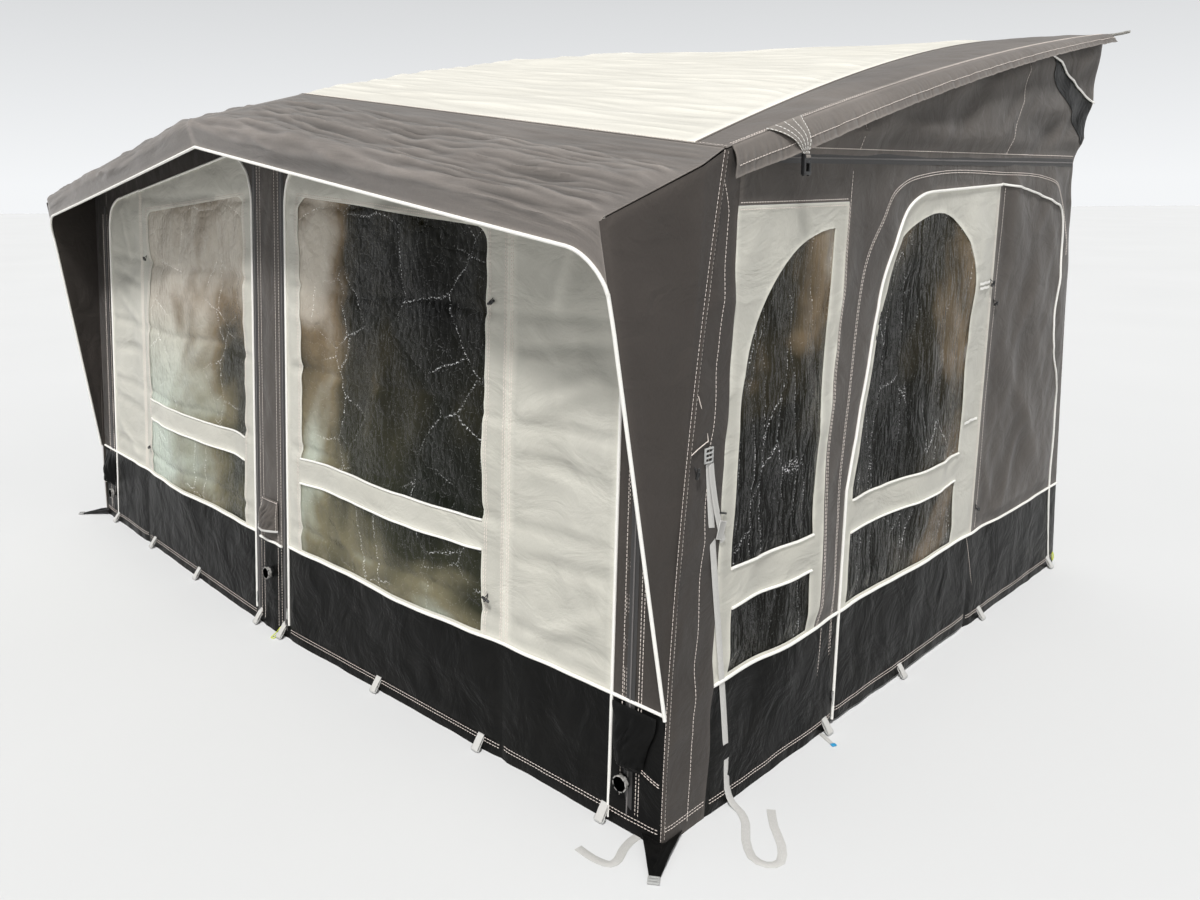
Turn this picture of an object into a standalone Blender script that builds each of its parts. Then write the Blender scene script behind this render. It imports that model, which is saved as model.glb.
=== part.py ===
# Caravan awning on air beams, in metres. +X runs along the caravan, +Y points to it, +Z is up.
# Lengths along Y are measured from the foot line of the front wall and moved to the middle at the end.

from math import atan2, cos, pi, radians, sin, sqrt

import bmesh
import bpy
from mathutils import Vector

# Cloth and clearances
CLOTH = 0.004
PANE = 0.0015
SEAM = 0.0003
GROUND_GAP = 0.012
THRESHOLD = 0.052

# Plan of the walls
BASE_HALF = 1.95
ROOF_DEPTH = 2.90
FRONT_SET = 0.016
FRONT_BOW = 0.079
FRONT_LEAN_SHARE = 0.04
SIDE_SPREAD_SHARE = 0.027
SEAM_LEAD = 0.017
SEAM_SET_BACK = 0.165
REAR_FOOT = ROOF_DEPTH - 0.02
REAR_SKIRT = ROOF_DEPTH - 0.08
REAR_GUTTER = ROOF_DEPTH - 0.27
REAR_TOP = ROOF_DEPTH - 0.04

# Heights
FRONT_SKIRT_TOP = 0.375
SIDE_SKIRT_TOP = 0.395
BAR_LOW = 0.648
BAR_HIGH = 0.748
GUTTER = 1.835
CORNER_TOP = 1.856
EDGE_FRONT = 1.808
EDGE_REAR = 2.383
RIDGE_FRONT = 2.075
RIDGE_REAR = 2.462
EDGE_ARCH_SHARE = 0.365
RIDGE_ARCH_SHARE = 0.761

# Roof and canopy
JUNCTION = 0.18
BAND_FRONT = 0.05
BAND_REAR = 0.37
EAVE_IN = 0.043
EAVE_HALF = BASE_HALF - EAVE_IN
EAVE_MIDDLE_OUT = 0.294
EAVE_END_OUT = 0.183
EAVE_MIDDLE_HIGH = 1.999
EAVE_END_HIGH = 1.687
FASCIA_MIDDLE_IN = 0.028
FASCIA_MIDDLE_DROP = 0.094
FASCIA_END_DROP = 0.081
CANOPY_BEND_SHARE = 0.25
CANOPY_CLEARANCE = 0.002
EDGE_CLEARANCE = 0.001
EDGE_FLAP_FRONT_DROP = 0.082
EDGE_FLAP_REAR_DROP = 0.035
EDGE_FLAP_OUT = 0.05
EDGE_FLAP_START = 0.20
EDGE_FLAP_END = REAR_TOP
EDGE_RUFFLE = 0.006
EDGE_RUFFLES = 16

# Rail bead
BEAD_RADIUS = 0.006
BEAD_TAPE = 0.028
BEAD_TAPE_THICK = 0.003
BEAD_TAIL = BASE_HALF + 0.146

# Air beams
BEAM_RADIUS = 0.045
BEAM_SIDES = 16
KNEE_RADIUS = 0.16
KNEE_STEPS = 6
ROOF_CLEARANCE = 0.005
BEAM_END = ROOF_DEPTH - 0.05
BEAM_SPANS = 6
HEADER_LEAD = 0.03

# Front wall
COLUMN_HALF = 0.125
CORNER_BAND = 0.185
LIGHT_OUTER = BASE_HALF - CORNER_BAND
LIGHT_CREST = 1.938
LIGHT_TOP_FALL_SHARE = 0.145
LIGHT_CORNER_INNER = 0.20
LIGHT_CORNER_OUTER = 0.16
STRIP_WIDE = 0.435
FRONT_HINGE = LIGHT_OUTER - STRIP_WIDE
FRONT_WINDOW_INNER = COLUMN_HALF + 0.097
FRONT_WINDOW_OUTER = FRONT_HINGE - 0.095
FRONT_WINDOW_CORNER = 0.05
FRONT_WINDOW_TOP_INNER = 1.722
FRONT_WINDOW_TOP_OUTER = 1.645
SILL = 0.012
PANE_LAP = 0.012
SKIRT_FOLD = 0.006
SKIRT_FOLD_PITCH = 0.30
SKIRT_LEVEL_SHARES = (0, 0.34, 0.67, 1)
WING_FOOT_OUT = 0.008

# Side wall
FLAP_FOOT = 0.20
FLAP_EDGE = 0.245
SIDE_PANEL_TOP = 1.71
SIDE_PANEL_REAR_LOW = 0.725
SIDE_PANEL_REAR_HIGH = 0.80
SIDE_WINDOW_FRONT = 0.285
SIDE_WINDOW_REAR_LOW = 0.672
SIDE_WINDOW_REAR_HIGH = 0.727
SIDE_WINDOW_TOP = 1.635
SIDE_WINDOW_SHOULDER = 1.16
SIDE_BAR_LOW = 0.60
SIDE_BAR_HIGH = 0.72
DOOR_FRONT = 0.885
DOOR_HINGE = 1.90
DOOR_KNEE = 0.80
DOOR_SHOULDER_SET = 0.225
DOOR_SHOULDER = 1.60
DOOR_BEND_ACROSS_SHARE = 0.62
DOOR_BEND_UP_SHARE = 0.75
DOOR_CROWN_SHARE = 0.45
DOOR_TOP_FRONT = 1.735
DOOR_TOP_REAR = 1.753
DOOR_STILE = 0.050
DOOR_RAIL = 0.075
DOOR_WINDOW_REAR = 1.713
DOOR_BAR_LOW = 0.648
DOOR_BAR_HIGH = 0.762

# Valves
VALVE_HEIGHT = 0.14
VALVE_MIDDLE_HEIGHT = 0.24
VALVE_OUT = BASE_HALF - 0.13
VALVE_RADIUS = 0.016
VALVE_STUB = 0.012
CAP_RADIUS = 0.022
CAP_WAIST_SHARE = 0.86
CAP_THICK = 0.013
CAP_LUGS = 8

# Zip sliders
SLIDER_WIDE = 0.012
SLIDER_LONG = 0.022
SLIDER_THICK = 0.006
SLIDER_HEIGHT = 0.10
SLIDER_WAIST_SHARE = 0.7
SLIDER_LAY = 0.0006
PULL_WIDE = 0.007
PULL_LONG = 0.032
PULL_THICK = 0.0025

# Webbing and its fittings
WEB_WIDE = 0.025
WEB_THICK = 0.0015
FOOT_STRAP_IN = 0.077
LOCK_WIDE = 0.036
LOCK_LONG = 0.042
LOCK_THICK = 0.005
LOCK_SLOT = 0.008
LOCK_BAR = 0.005
LOCK_PLACE = 0.155
LOCK_HEIGHT = 1.068
BUCKLE_WIDE = 0.034
BUCKLE_LONG = 0.055
BUCKLE_THICK = 0.012
BUCKLE_SLOT = 0.006
BUCKLE_MOUTH = 0.022
BUCKLE_PLACE = 0.46
PEG_TAB_WIDE = 0.028
PEG_TAB_LONG = 0.044
PEG_TAB_LOW = 0.004
PEG_TAB_OUT = 0.034

FRONT_PEG_SHARES = (0.533, 0.934)
COLUMN_PEG = COLUMN_HALF - 0.03
CORNER_PEG = LIGHT_OUTER - 0.01
SIDE_PEG = DOOR_FRONT - 0.054
DOOR_PEG = DOOR_FRONT + 0.46
REAR_PEGS = (DOOR_HINGE + 0.125, REAR_FOOT - 0.098)

MIDDLE = (ROOF_DEPTH + BEAD_TAPE + 2 * BEAD_RADIUS - EAVE_MIDDLE_OUT) / 2

DARK = (0.075, 0.068, 0.062, 1)
LIGHT = (0.58, 0.57, 0.50, 1)
CREAM = (0.74, 0.72, 0.62, 1)
BLACK = (0.010, 0.010, 0.010, 1)
CLEAR = (0.70, 0.74, 0.74, 1)
GREY = (0.46, 0.46, 0.44, 1)
WHITE = (0.85, 0.84, 0.80, 1)


# Walls and roof as formulas

def mix(a, b, share):
    return a + (b - a) * share


def front(x, z, out=0.0):
    """A point of the front wall's outer face, or one that stands out of it."""
    y = FRONT_SET + FRONT_LEAN_SHARE * z - FRONT_BOW * (1 - abs(x) / BASE_HALF)
    return Vector((x, y - out, z))


def side_x(z):
    return BASE_HALF + SIDE_SPREAD_SHARE * z


def side(y, z, out=0.0):
    """A point of the right side wall's outer face."""
    return Vector((side_x(z) + out, y, z))


def arch(y, low, high, bend):
    share = y / ROOF_DEPTH
    return low + (high - low) * share * (1 + bend * (1 - share))


def edge_z(y):
    return arch(y, EDGE_FRONT, EDGE_REAR, EDGE_ARCH_SHARE)


def ridge_z(y):
    return arch(y, RIDGE_FRONT, RIDGE_REAR, RIDGE_ARCH_SHARE)


def roof_half(y):
    return side_x(edge_z(y))


def roof_z(x, y):
    return mix(ridge_z(y), edge_z(y), abs(x) / roof_half(y))


def light_half(y):
    return BASE_HALF - mix(BAND_FRONT, BAND_REAR, (y - JUNCTION) / (ROOF_DEPTH - JUNCTION))


def seam_y(z):
    """The corner seam, which runs from the foot to the roof's front corner."""
    return SEAM_LEAD + SEAM_SET_BACK * (z / CORNER_TOP) ** 2


def eave_end():
    return EAVE_HALF - CLOTH - SEAM


def canopy_half(y):
    """Half of the canopy's width. It keeps the roof's as far as the corner beams, then draws in."""
    wide = roof_half(JUNCTION) - CLOTH - 2 * SEAM
    bend = front(BASE_HALF, CORNER_TOP).y
    return mix(eave_end(), wide, min(1, (y + EAVE_END_OUT) / (bend + EAVE_END_OUT)))


def canopy(across, down):
    """The canopy's top: across runs 0 to 1 from the middle out, down 0 to 1 from the roof to the eave."""
    rear_z = roof_z(across * canopy_half(JUNCTION), JUNCTION)
    y = mix(JUNCTION, -mix(EAVE_MIDDLE_OUT, EAVE_END_OUT, across), down)
    z = mix(rear_z, mix(EAVE_MIDDLE_HIGH, EAVE_END_HIGH, across), down)
    return Vector((across * canopy_half(y), y, z))


def fascia(across):
    eave = canopy(across, 1)
    inward = mix(FASCIA_MIDDLE_IN, 0, across)
    drop = mix(FASCIA_MIDDLE_DROP, FASCIA_END_DROP, across)
    return eave + Vector((0, inward, -drop))


def under_canopy(x, y):
    """Height just below the canopy at a place of the front wall."""
    across = abs(x) / roof_half(JUNCTION)
    for _ in range(4):
        eave = canopy(across, 1)
        down = (JUNCTION - y) / (JUNCTION - eave.y)
        across *= abs(x) / max(canopy(across, down).x, SEAM)
    pitch = (canopy(1, 0).z - canopy(1, 1).z) / (JUNCTION - canopy(1, 1).y)
    fall = (canopy(0, 1).z - canopy(1, 1).z) / canopy(1, 1).x
    return canopy(across, down).z - CLOTH * sqrt(1 + pitch ** 2 + fall ** 2) - CANOPY_CLEARANCE


def edge_under(y):
    """Height just below the roof's outer edge."""
    slope = (edge_z(y + CLOTH) - edge_z(y - CLOTH)) / (2 * CLOTH)
    fall = (ridge_z(y) - edge_z(y)) / roof_half(y)
    return edge_z(y) - CLOTH * sqrt(1 + slope ** 2 + fall ** 2) - EDGE_CLEARANCE


def flap_edge(z):
    """Free edge of the corner flap, where the side wall starts."""
    return mix(FLAP_FOOT, FLAP_EDGE, min(1, z / SIDE_PANEL_TOP))


def rear_y(z):
    if z <= SIDE_SKIRT_TOP:
        return mix(REAR_FOOT, REAR_SKIRT, z / SIDE_SKIRT_TOP)
    return mix(REAR_SKIRT, REAR_GUTTER, (z - SIDE_SKIRT_TOP) / (GUTTER - SIDE_SKIRT_TOP))


# Makers

def finish(name, mesh_maker, colour, metallic=0.0, rough=0.7):
    """Puts a bmesh into the scene as one named piece with its own material."""
    mesh = bpy.data.meshes.new(name)
    mesh_maker.to_mesh(mesh)
    mesh_maker.free()
    for vertex in mesh.vertices:
        vertex.co.y -= MIDDLE
    piece = bpy.data.objects.new(name, mesh)
    bpy.context.scene.collection.objects.link(piece)
    material = bpy.data.materials.new(name + "_finish")
    material.use_nodes = True
    shader = material.node_tree.nodes["Principled BSDF"]
    shader.inputs["Base Color"].default_value = colour
    shader.inputs["Metallic"].default_value = metallic
    shader.inputs["Roughness"].default_value = rough
    mesh.materials.append(material)
    return piece


def turn_out(shape, facing):
    """Turns the faces of an open sheet so that they look along facing."""
    shape.normal_update()
    total = Vector((0, 0, 0))
    for face in shape.faces:
        total += face.normal * face.calc_area()
    if total.dot(facing) < 0:
        bmesh.ops.reverse_faces(shape, faces=shape.faces)


def close_out(shape):
    """Turns the faces of a closed body outwards."""
    bmesh.ops.recalc_face_normals(shape, faces=shape.faces)
    if shape.calc_volume(signed=True) < 0:
        bmesh.ops.reverse_faces(shape, faces=shape.faces)


def fill_loops(loops):
    """A new flat sheet in the plane of its first two axes, from an outline and its holes."""
    shape = bmesh.new()
    for loop in loops:
        corners = [shape.verts.new((u, v, 0)) for u, v in loop]
        for index, corner in enumerate(corners):
            shape.edges.new((corner, corners[(index + 1) % len(corners)]))
    bmesh.ops.triangle_fill(shape, use_beauty=True, use_dissolve=False, edges=shape.edges, normal=(0, 0, 1))
    return shape


def thicken(piece, thick):
    solid = piece.modifiers.new("Wall", "SOLIDIFY")
    solid.thickness = thick
    solid.offset = -1
    solid.use_even_offset = True
    return piece


def mirrored(point, hand):
    return Vector((point.x * hand, point.y, point.z))


def flat_piece(name, outline, holes, place, facing, colour, hand=1, thick=CLOTH, rough=0.7):
    """A cut sheet: a 2-D outline with holes, filled, laid on a wall by place and given its thickness."""
    shape = fill_loops([outline] + list(holes))
    for vertex in shape.verts:
        vertex.co = mirrored(place(vertex.co.x, vertex.co.y), hand)
    turn_out(shape, mirrored(facing, hand))
    return thicken(finish(name, shape, colour, rough=rough), thick)


def grid_piece(name, rows, facing, colour, hand=1, thick=CLOTH, rough=0.7, keep=None):
    """A sheet lofted through rows of points and given its thickness. Faces that keep refuses stay open."""
    shape = bmesh.new()
    lines = [[shape.verts.new(mirrored(point, hand)) for point in row] for row in rows]
    for level, (lower, upper) in enumerate(zip(lines, lines[1:])):
        for index in range(len(lower) - 1):
            if keep is None or keep(level, index):
                shape.faces.new((lower[index], lower[index + 1], upper[index + 1], upper[index]))
    loose = [vertex for vertex in shape.verts if not vertex.link_faces]
    bmesh.ops.delete(shape, geom=loose, context="VERTS")
    turn_out(shape, mirrored(facing, hand))
    return thicken(finish(name, shape, colour, rough=rough), thick)


def swept_piece(name, rings, colour, hand=1, rough=0.7, smooth=False):
    """A closed solid skinned over rings of points, with a cap at each end."""
    shape = bmesh.new()
    loops = [[shape.verts.new(mirrored(point, hand)) for point in ring] for ring in rings]
    for near, far in zip(loops, loops[1:]):
        for index in range(len(near)):
            after = (index + 1) % len(near)
            shape.faces.new((near[index], near[after], far[after], far[index]))
    shape.faces.new(list(reversed(loops[0])))
    shape.faces.new(loops[-1])
    close_out(shape)
    piece = finish(name, shape, colour, rough=rough)
    if smooth:
        piece.data.shade_smooth()
        piece.data.set_sharp_from_angle(angle=radians(40))
    return piece


def arc(middle, radius, start, end, steps):
    """Points of a round corner, angles in degrees from the first axis."""
    points = []
    for step in range(steps + 1):
        angle = radians(mix(start, end, step / steps))
        points.append((middle[0] + radius * cos(angle), middle[1] + radius * sin(angle)))
    return points


def rectangle(middle_u, middle_v, wide, high):
    half_wide, half_high = wide / 2, high / 2
    return [(middle_u - half_wide, middle_v - half_high), (middle_u + half_wide, middle_v - half_high),
            (middle_u + half_wide, middle_v + half_high), (middle_u - half_wide, middle_v + half_high)]


def block(loops, place, near, far, hand=1):
    """A closed block from an outline and its holes, laid on a wall between two stand-offs."""
    shape = fill_loops(loops)
    raised = bmesh.ops.extrude_face_region(shape, geom=shape.faces[:])
    upper = {item for item in raised["geom"] if isinstance(item, bmesh.types.BMVert)}
    for vertex in shape.verts:
        u, v = vertex.co.x, vertex.co.y
        stand = far(u, v) if vertex in upper else near(u, v)
        vertex.co = mirrored(place(u, v, stand), hand)
    close_out(shape)
    return shape


def boolean(piece, tool, operation):
    """Cuts or joins a tool, which itself stays out of the model."""
    tool.hide_render = True
    tool.display_type = "WIRE"
    step = piece.modifiers.new(tool.name, "BOOLEAN")
    step.operation = operation
    step.object = tool
    return piece


# Air beams

def beam_rings(path, radius, across):
    """Rings round a bent path. One point of each ring always looks along across."""
    rings = []
    for index, point in enumerate(path):
        before = path[max(index - 1, 0)]
        after = path[min(index + 1, len(path) - 1)]
        along = (after - before).normalized()
        flat = (across - along * across.dot(along)).normalized()
        other = along.cross(flat)
        if 0 < index < len(path) - 1:
            bend = (point - before).normalized().angle((after - point).normalized())
        else:
            bend = 0
        ring = []
        for step in range(BEAM_SIDES):
            angle = 2 * pi * step / BEAM_SIDES
            ring.append(point + flat * (radius * cos(angle)) + other * (radius * sin(angle) / cos(bend / 2)))
        rings.append(ring)
    return rings


def beam_reach():
    return BEAM_RADIUS * sqrt(1 + FRONT_LEAN_SHARE ** 2 + (FRONT_BOW / BASE_HALF) ** 2) + CLOTH + SEAM


def beam_x(z, middle):
    return 0 if middle else side_x(z) - CLOTH - SEAM - BEAM_RADIUS * sqrt(1 + SIDE_SPREAD_SHARE ** 2)


def beam_path(middle):
    """Leg, knee and roof run of one air beam, from its foot to the caravan."""
    def leg_y(z):
        return front(beam_x(z, middle), z).y + beam_reach()

    def run_z(y):
        half = beam_x(edge_z(y), middle)
        slope = (roof_z(half, y + CLOTH) - roof_z(half, y - CLOTH)) / (2 * CLOTH)
        fall = (ridge_z(y) - edge_z(y)) / roof_half(y)
        lift = (BEAM_RADIUS + CLOTH) * sqrt(1 + slope ** 2 + fall ** 2) + ROOF_CLEARANCE
        return roof_z(half, y) - lift

    knee_y = leg_y(run_z(JUNCTION)) + KNEE_RADIUS
    corner_y = leg_y(run_z(knee_y))
    corner_z = run_z(corner_y)
    foot_z = corner_z - KNEE_RADIUS
    route = [(leg_y(0), 0)]
    for step in range(KNEE_STEPS):
        share = step / KNEE_STEPS
        lower = (mix(leg_y(foot_z), corner_y, share), mix(foot_z, corner_z, share))
        upper = (mix(corner_y, knee_y, share), mix(corner_z, run_z(knee_y), share))
        route.append((mix(lower[0], upper[0], share), mix(lower[1], upper[1], share)))
    for span in range(BEAM_SPANS + 1):
        y = mix(knee_y, BEAM_END, span / BEAM_SPANS)
        route.append((y, run_z(y)))
    return [Vector((beam_x(z, middle), y, z)) for y, z in route]


def level_foot(rings):
    """Cuts the first ring of a leg level, so that it stands flat."""
    first, second = rings[0], rings[1]
    rings[0] = [low + (high - low) * (-low.z / (high.z - low.z)) for low, high in zip(first, second)]
    return rings


def make_air_beams():
    across = Vector((1, 0, 0))
    side_path = beam_path(middle=False)
    middle_path = beam_path(middle=True)
    swept_piece("air_beam_center", level_foot(beam_rings(middle_path, BEAM_RADIUS, across)), BLACK, smooth=True)
    knee = 1 + KNEE_STEPS // 2
    reach = Vector((BEAM_RADIUS * (1 + SIDE_SPREAD_SHARE + SIDE_SPREAD_SHARE ** 2) + SEAM, 0, 0))
    lead = Vector((HEADER_LEAD, 0, 0))
    start = middle_path[knee] + reach
    end = side_path[knee] - reach
    header = [start, start + lead, end - lead, end]
    for hand, word in ((1, "right"), (-1, "left")):
        rings = level_foot(beam_rings(side_path, BEAM_RADIUS, across))
        swept_piece("air_beam_" + word, rings, BLACK, hand, smooth=True)
        rings = beam_rings(header, BEAM_RADIUS, Vector((0, 0, 1)))
        swept_piece("header_beam_" + word, rings, BLACK, hand, smooth=True)


# Roof

def make_roof():
    stations = [mix(JUNCTION + SEAM / 2, ROOF_DEPTH, step / 8) for step in range(9)]
    rows = []
    for y in stations:
        half = light_half(y) - SEAM / 2
        shares = (-1, -0.5, 0, 0.5, 1)
        rows.append([Vector((half * share, y, roof_z(half * share, y))) for share in shares])
    grid_piece("roof_panel", rows, Vector((0, 0, 1)), CREAM)
    for hand, word in ((1, "right"), (-1, "left")):
        rows = []
        for y in stations:
            inner, outer = light_half(y) + SEAM / 2, roof_half(y)
            rows.append([Vector((x, y, roof_z(x, y))) for x in (inner, mix(inner, outer, 0.5), outer)])
        grid_piece("roof_band_" + word, rows, Vector((0, 0, 1)), DARK, hand)


def make_canopy():
    columns = 6
    fall = (EAVE_MIDDLE_HIGH - EAVE_END_HIGH) / EAVE_HALF
    for hand, word in ((1, "right"), (-1, "left")):
        rows = []
        for step in range(columns + 1):
            across = step / columns
            line = [canopy(across, down) for down in (0, CANOPY_BEND_SHARE, 0.5, 0.75, 1)] + [fascia(across)]
            pitch = (line[0].z - line[-2].z) / (line[0].y - line[-2].y)
            line[0].y -= CLOTH * pitch + SEAM
            if step == 0:
                for point in line:
                    point.x = CLOTH * fall + SEAM
            rows.append(line)
        grid_piece("canopy_" + word, rows, Vector((0, -1, 1)), DARK, hand)


def make_edge_flaps():
    """The gathered cover that hangs over each roof edge."""
    steps = EDGE_RUFFLES * 4
    for hand, word in ((1, "right"), (-1, "left")):
        upper, lower = [], []
        for step in range(steps + 1):
            share = step / steps
            y = mix(EDGE_FLAP_START, EDGE_FLAP_END, share)
            drop = mix(EDGE_FLAP_FRONT_DROP, EDGE_FLAP_REAR_DROP, share)
            tilt = atan2(EDGE_FLAP_OUT, drop)
            start = roof_half(y) + CLOTH * cos(tilt) + SEAM
            wave = EDGE_RUFFLE * sin(pi * 2 * EDGE_RUFFLES * share) * drop / EDGE_FLAP_FRONT_DROP
            upper.append(Vector((start, y, edge_z(y))))
            lower.append(Vector((start + EDGE_FLAP_OUT + wave, y, edge_z(y) - drop)))
        grid_piece("edge_flap_" + word, [upper, lower], Vector((1, 0, 1)), DARK, hand)


def make_rail_bead():
    """Tape and round bead that slide into the rail of a caravan, one swept section."""
    half = BEAD_TAPE_THICK / 2
    back = ROOF_DEPTH + BEAD_TAPE + BEAD_RADIUS
    neck = atan2(half, BEAD_RADIUS)
    slope = (edge_z(ROOF_DEPTH) - edge_z(ROOF_DEPTH - CLOTH)) / CLOTH
    start = ROOF_DEPTH + CLOTH * slope + SEAM
    section = [(start, half), (start, -half)]
    for step in range(9):
        angle = mix(-pi + neck, pi - neck, step / 8)
        section.append((back + BEAD_RADIUS * cos(angle), BEAD_RADIUS * sin(angle)))
    spans = 12
    rings = []
    for step in range(spans + 1):
        x = mix(-BEAD_TAIL, BEAD_TAIL, step / spans)
        inside = max(-roof_half(ROOF_DEPTH), min(roof_half(ROOF_DEPTH), x))
        height = roof_z(inside, ROOF_DEPTH) - CLOTH / 2
        rings.append([Vector((x, y, height + lift)) for y, lift in section])
    swept_piece("rail_bead", rings, GREY)


# Ends of the roof and corners

def make_gables():
    steps = 8
    outline = [(FLAP_EDGE + SEAM / 2, GUTTER + SEAM / 2), (REAR_GUTTER, GUTTER + SEAM / 2)]
    for step in range(steps + 1):
        y = mix(REAR_TOP, FLAP_EDGE + SEAM / 2, step / steps)
        outline.append((y, edge_under(y)))
    for hand, word in ((1, "right"), (-1, "left")):
        flat_piece("gable_" + word, outline, [], side, Vector((1, 0, 0)), DARK, hand)


def seam_heights():
    """Heights at which the corner seam has its points, from the skirt up to the roof."""
    steps = 8
    top = edge_under(seam_y(CORNER_TOP))
    return [mix(FRONT_SKIRT_TOP, top, step / steps) for step in range(steps + 1)]


def make_corner_flaps():
    outline = [(seam_y(z) + SEAM / 2, z) for z in [0] + seam_heights()]
    edge = FLAP_EDGE - SEAM / 2
    outline += [(edge, edge_under(edge)), (edge, SIDE_PANEL_TOP), (FLAP_FOOT, 0)]
    for hand, word in ((1, "right"), (-1, "left")):
        flat_piece("corner_flap_" + word, outline, [], side, Vector((1, 0, 0)), DARK, hand)


def make_wings():
    """The long triangle that closes the canopy's end and runs down to the skirt."""
    foot = side(seam_y(FRONT_SKIRT_TOP) - CLOTH - WING_FOOT_OUT, FRONT_SKIRT_TOP)
    tip = Vector((EAVE_HALF, canopy(1, 1).y, canopy(1, 1).z - CLOTH - SEAM))
    heights = seam_heights()
    rows = []
    for step, z in enumerate(heights):
        share = step / (len(heights) - 1)
        outer = foot.lerp(tip, share)
        inner = side(seam_y(z) - SEAM / 2, z)
        bend_y = min(inner.y - CLOTH, front(BASE_HALF, z).y)
        bend_z = mix(outer.z, inner.z, (bend_y - outer.y) / (inner.y - outer.y))
        bend = side(bend_y, bend_z)
        rows.append([outer, outer.lerp(bend, 0.5), bend, inner])
    for hand, word in ((1, "right"), (-1, "left")):
        grid_piece("wing_" + word, rows, Vector((1, 0, 0)), DARK, hand)


# Front wall

def light_top(offset):
    """Top of the light front panel from its inner to its outer side, grown by offset."""
    inner_x = COLUMN_HALF + LIGHT_CORNER_INNER
    outer_x = LIGHT_OUTER - LIGHT_CORNER_OUTER
    inner = (inner_x, LIGHT_CREST - LIGHT_TOP_FALL_SHARE * inner_x - LIGHT_CORNER_INNER)
    outer = (outer_x, LIGHT_CREST - LIGHT_TOP_FALL_SHARE * outer_x - LIGHT_CORNER_OUTER)
    points = arc(inner, LIGHT_CORNER_INNER + offset, 180, 90, 5)
    return points, arc(outer, LIGHT_CORNER_OUTER + offset, 90, 0, 5)


def light_top_at(x):
    return LIGHT_CREST - LIGHT_TOP_FALL_SHARE * x


def front_window():
    """The two openings of a front door, above and below its bar."""
    corner = FRONT_WINDOW_CORNER
    upper = [(FRONT_WINDOW_INNER, BAR_HIGH), (FRONT_WINDOW_OUTER, BAR_HIGH)]
    upper += arc((FRONT_WINDOW_OUTER - corner, FRONT_WINDOW_TOP_OUTER - corner), corner, 0, 90, 3)
    upper += arc((FRONT_WINDOW_INNER + corner, FRONT_WINDOW_TOP_INNER - corner), corner, 90, 180, 3)
    low = FRONT_SKIRT_TOP + SILL
    lower = [(FRONT_WINDOW_INNER, low), (FRONT_WINDOW_OUTER, low),
             (FRONT_WINDOW_OUTER, BAR_LOW), (FRONT_WINDOW_INNER, BAR_LOW)]
    return upper, lower


def skirt_row(place, start, end, z, hang, folds):
    """One row of a skirt. Its folds stand outwards, and die out at both ends and where hang is 0."""
    steps = 4 * folds
    row = []
    for step in range(steps + 1):
        share = step / steps
        swell = (1 - cos(2 * pi * folds * share)) / 2
        row.append(place(mix(start, end, share), z, SKIRT_FOLD * hang * sin(pi * share) * swell))
    return row


def fold_count(width):
    return max(1, round(width / SKIRT_FOLD_PITCH))


def skirt_rows(place, start, end, low, high):
    """Rows of a skirt that hangs in soft folds. Its two edges, start and end, are given by height."""
    folds = fold_count(end(high) - start(high))
    rows = []
    for level in SKIRT_LEVEL_SHARES:
        z = mix(low, high, level)
        rows.append(skirt_row(place, start(z), end(z), z, 1 - level, folds))
    return rows


def upright(place):
    return lambda z: place


def peg_tab(name, place, spot, hand):
    """A webbing tab that takes a ground peg, turned out at the foot of a skirt."""
    outline = rectangle(spot, PEG_TAB_LOW + PEG_TAB_LONG / 2, PEG_TAB_WIDE, PEG_TAB_LONG)

    def outer(u, v):
        return PEG_TAB_OUT * (1 - (v - PEG_TAB_LOW) / PEG_TAB_LONG) + CLOTH / 2

    def inner(u, v):
        return outer(u, v) - CLOTH

    return finish(name, block([outline], place, inner, outer, hand), GREY)


def add_pegs(piece, place, spots, hand):
    for number, spot in enumerate(spots):
        boolean(piece, peg_tab(piece.name + "_tab_" + str(number), place, spot, hand), "UNION")


def make_front_doors():
    out = Vector((0, -1, 0))
    half = SEAM / 2
    inner_arc, _ = light_top(-half)
    low = FRONT_SKIRT_TOP + half
    hinge = FRONT_HINGE - half
    outline = [(COLUMN_HALF + half, low)] + inner_arc + [(hinge, light_top_at(hinge) - half), (hinge, low)]
    upper, lower = front_window()
    lap = PANE_LAP
    pane = [(FRONT_WINDOW_INNER - lap, low), (FRONT_WINDOW_OUTER + lap, low),
            (FRONT_WINDOW_OUTER + lap, FRONT_WINDOW_TOP_OUTER + lap),
            (FRONT_WINDOW_INNER - lap, FRONT_WINDOW_TOP_INNER + lap)]

    def behind(x, z):
        return front(x, z, -CLOTH - 2 * SEAM)

    for hand, word in ((1, "right"), (-1, "left")):
        name = "front_door_" + word
        flat_piece(name + "_panel", outline, [upper, lower], front, out, LIGHT, hand)
        flat_piece(name + "_window", pane, [], behind, out, CLEAR, hand, PANE, 0.1)
        rows = skirt_rows(front, upright(COLUMN_HALF + half), upright(hinge),
                          THRESHOLD + half, FRONT_SKIRT_TOP - half)
        grid_piece(name + "_skirt", rows, out, BLACK, hand, rough=0.35)


def make_corner_skirt(name, hinge, corner, out, hand):
    """The skirt at a front corner, and the low threshold that runs on from it under the door."""
    half = SEAM / 2
    top = FRONT_SKIRT_TOP - half
    sill = THRESHOLD - half
    spans = 4
    folds = fold_count(corner(top) - hinge)
    rows = []
    for z in (0, sill, (sill + top) / 2, top):
        under_door = [front(mix(COLUMN_HALF + half, hinge, step / spans), z) for step in range(spans)]
        rows.append(under_door + skirt_row(front, hinge, corner(z), z, 1 - z / top, folds))

    def keep(level, index):
        return level == 0 or index >= spans

    return grid_piece(name, rows, out, BLACK, hand, rough=0.35, keep=keep)


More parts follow.
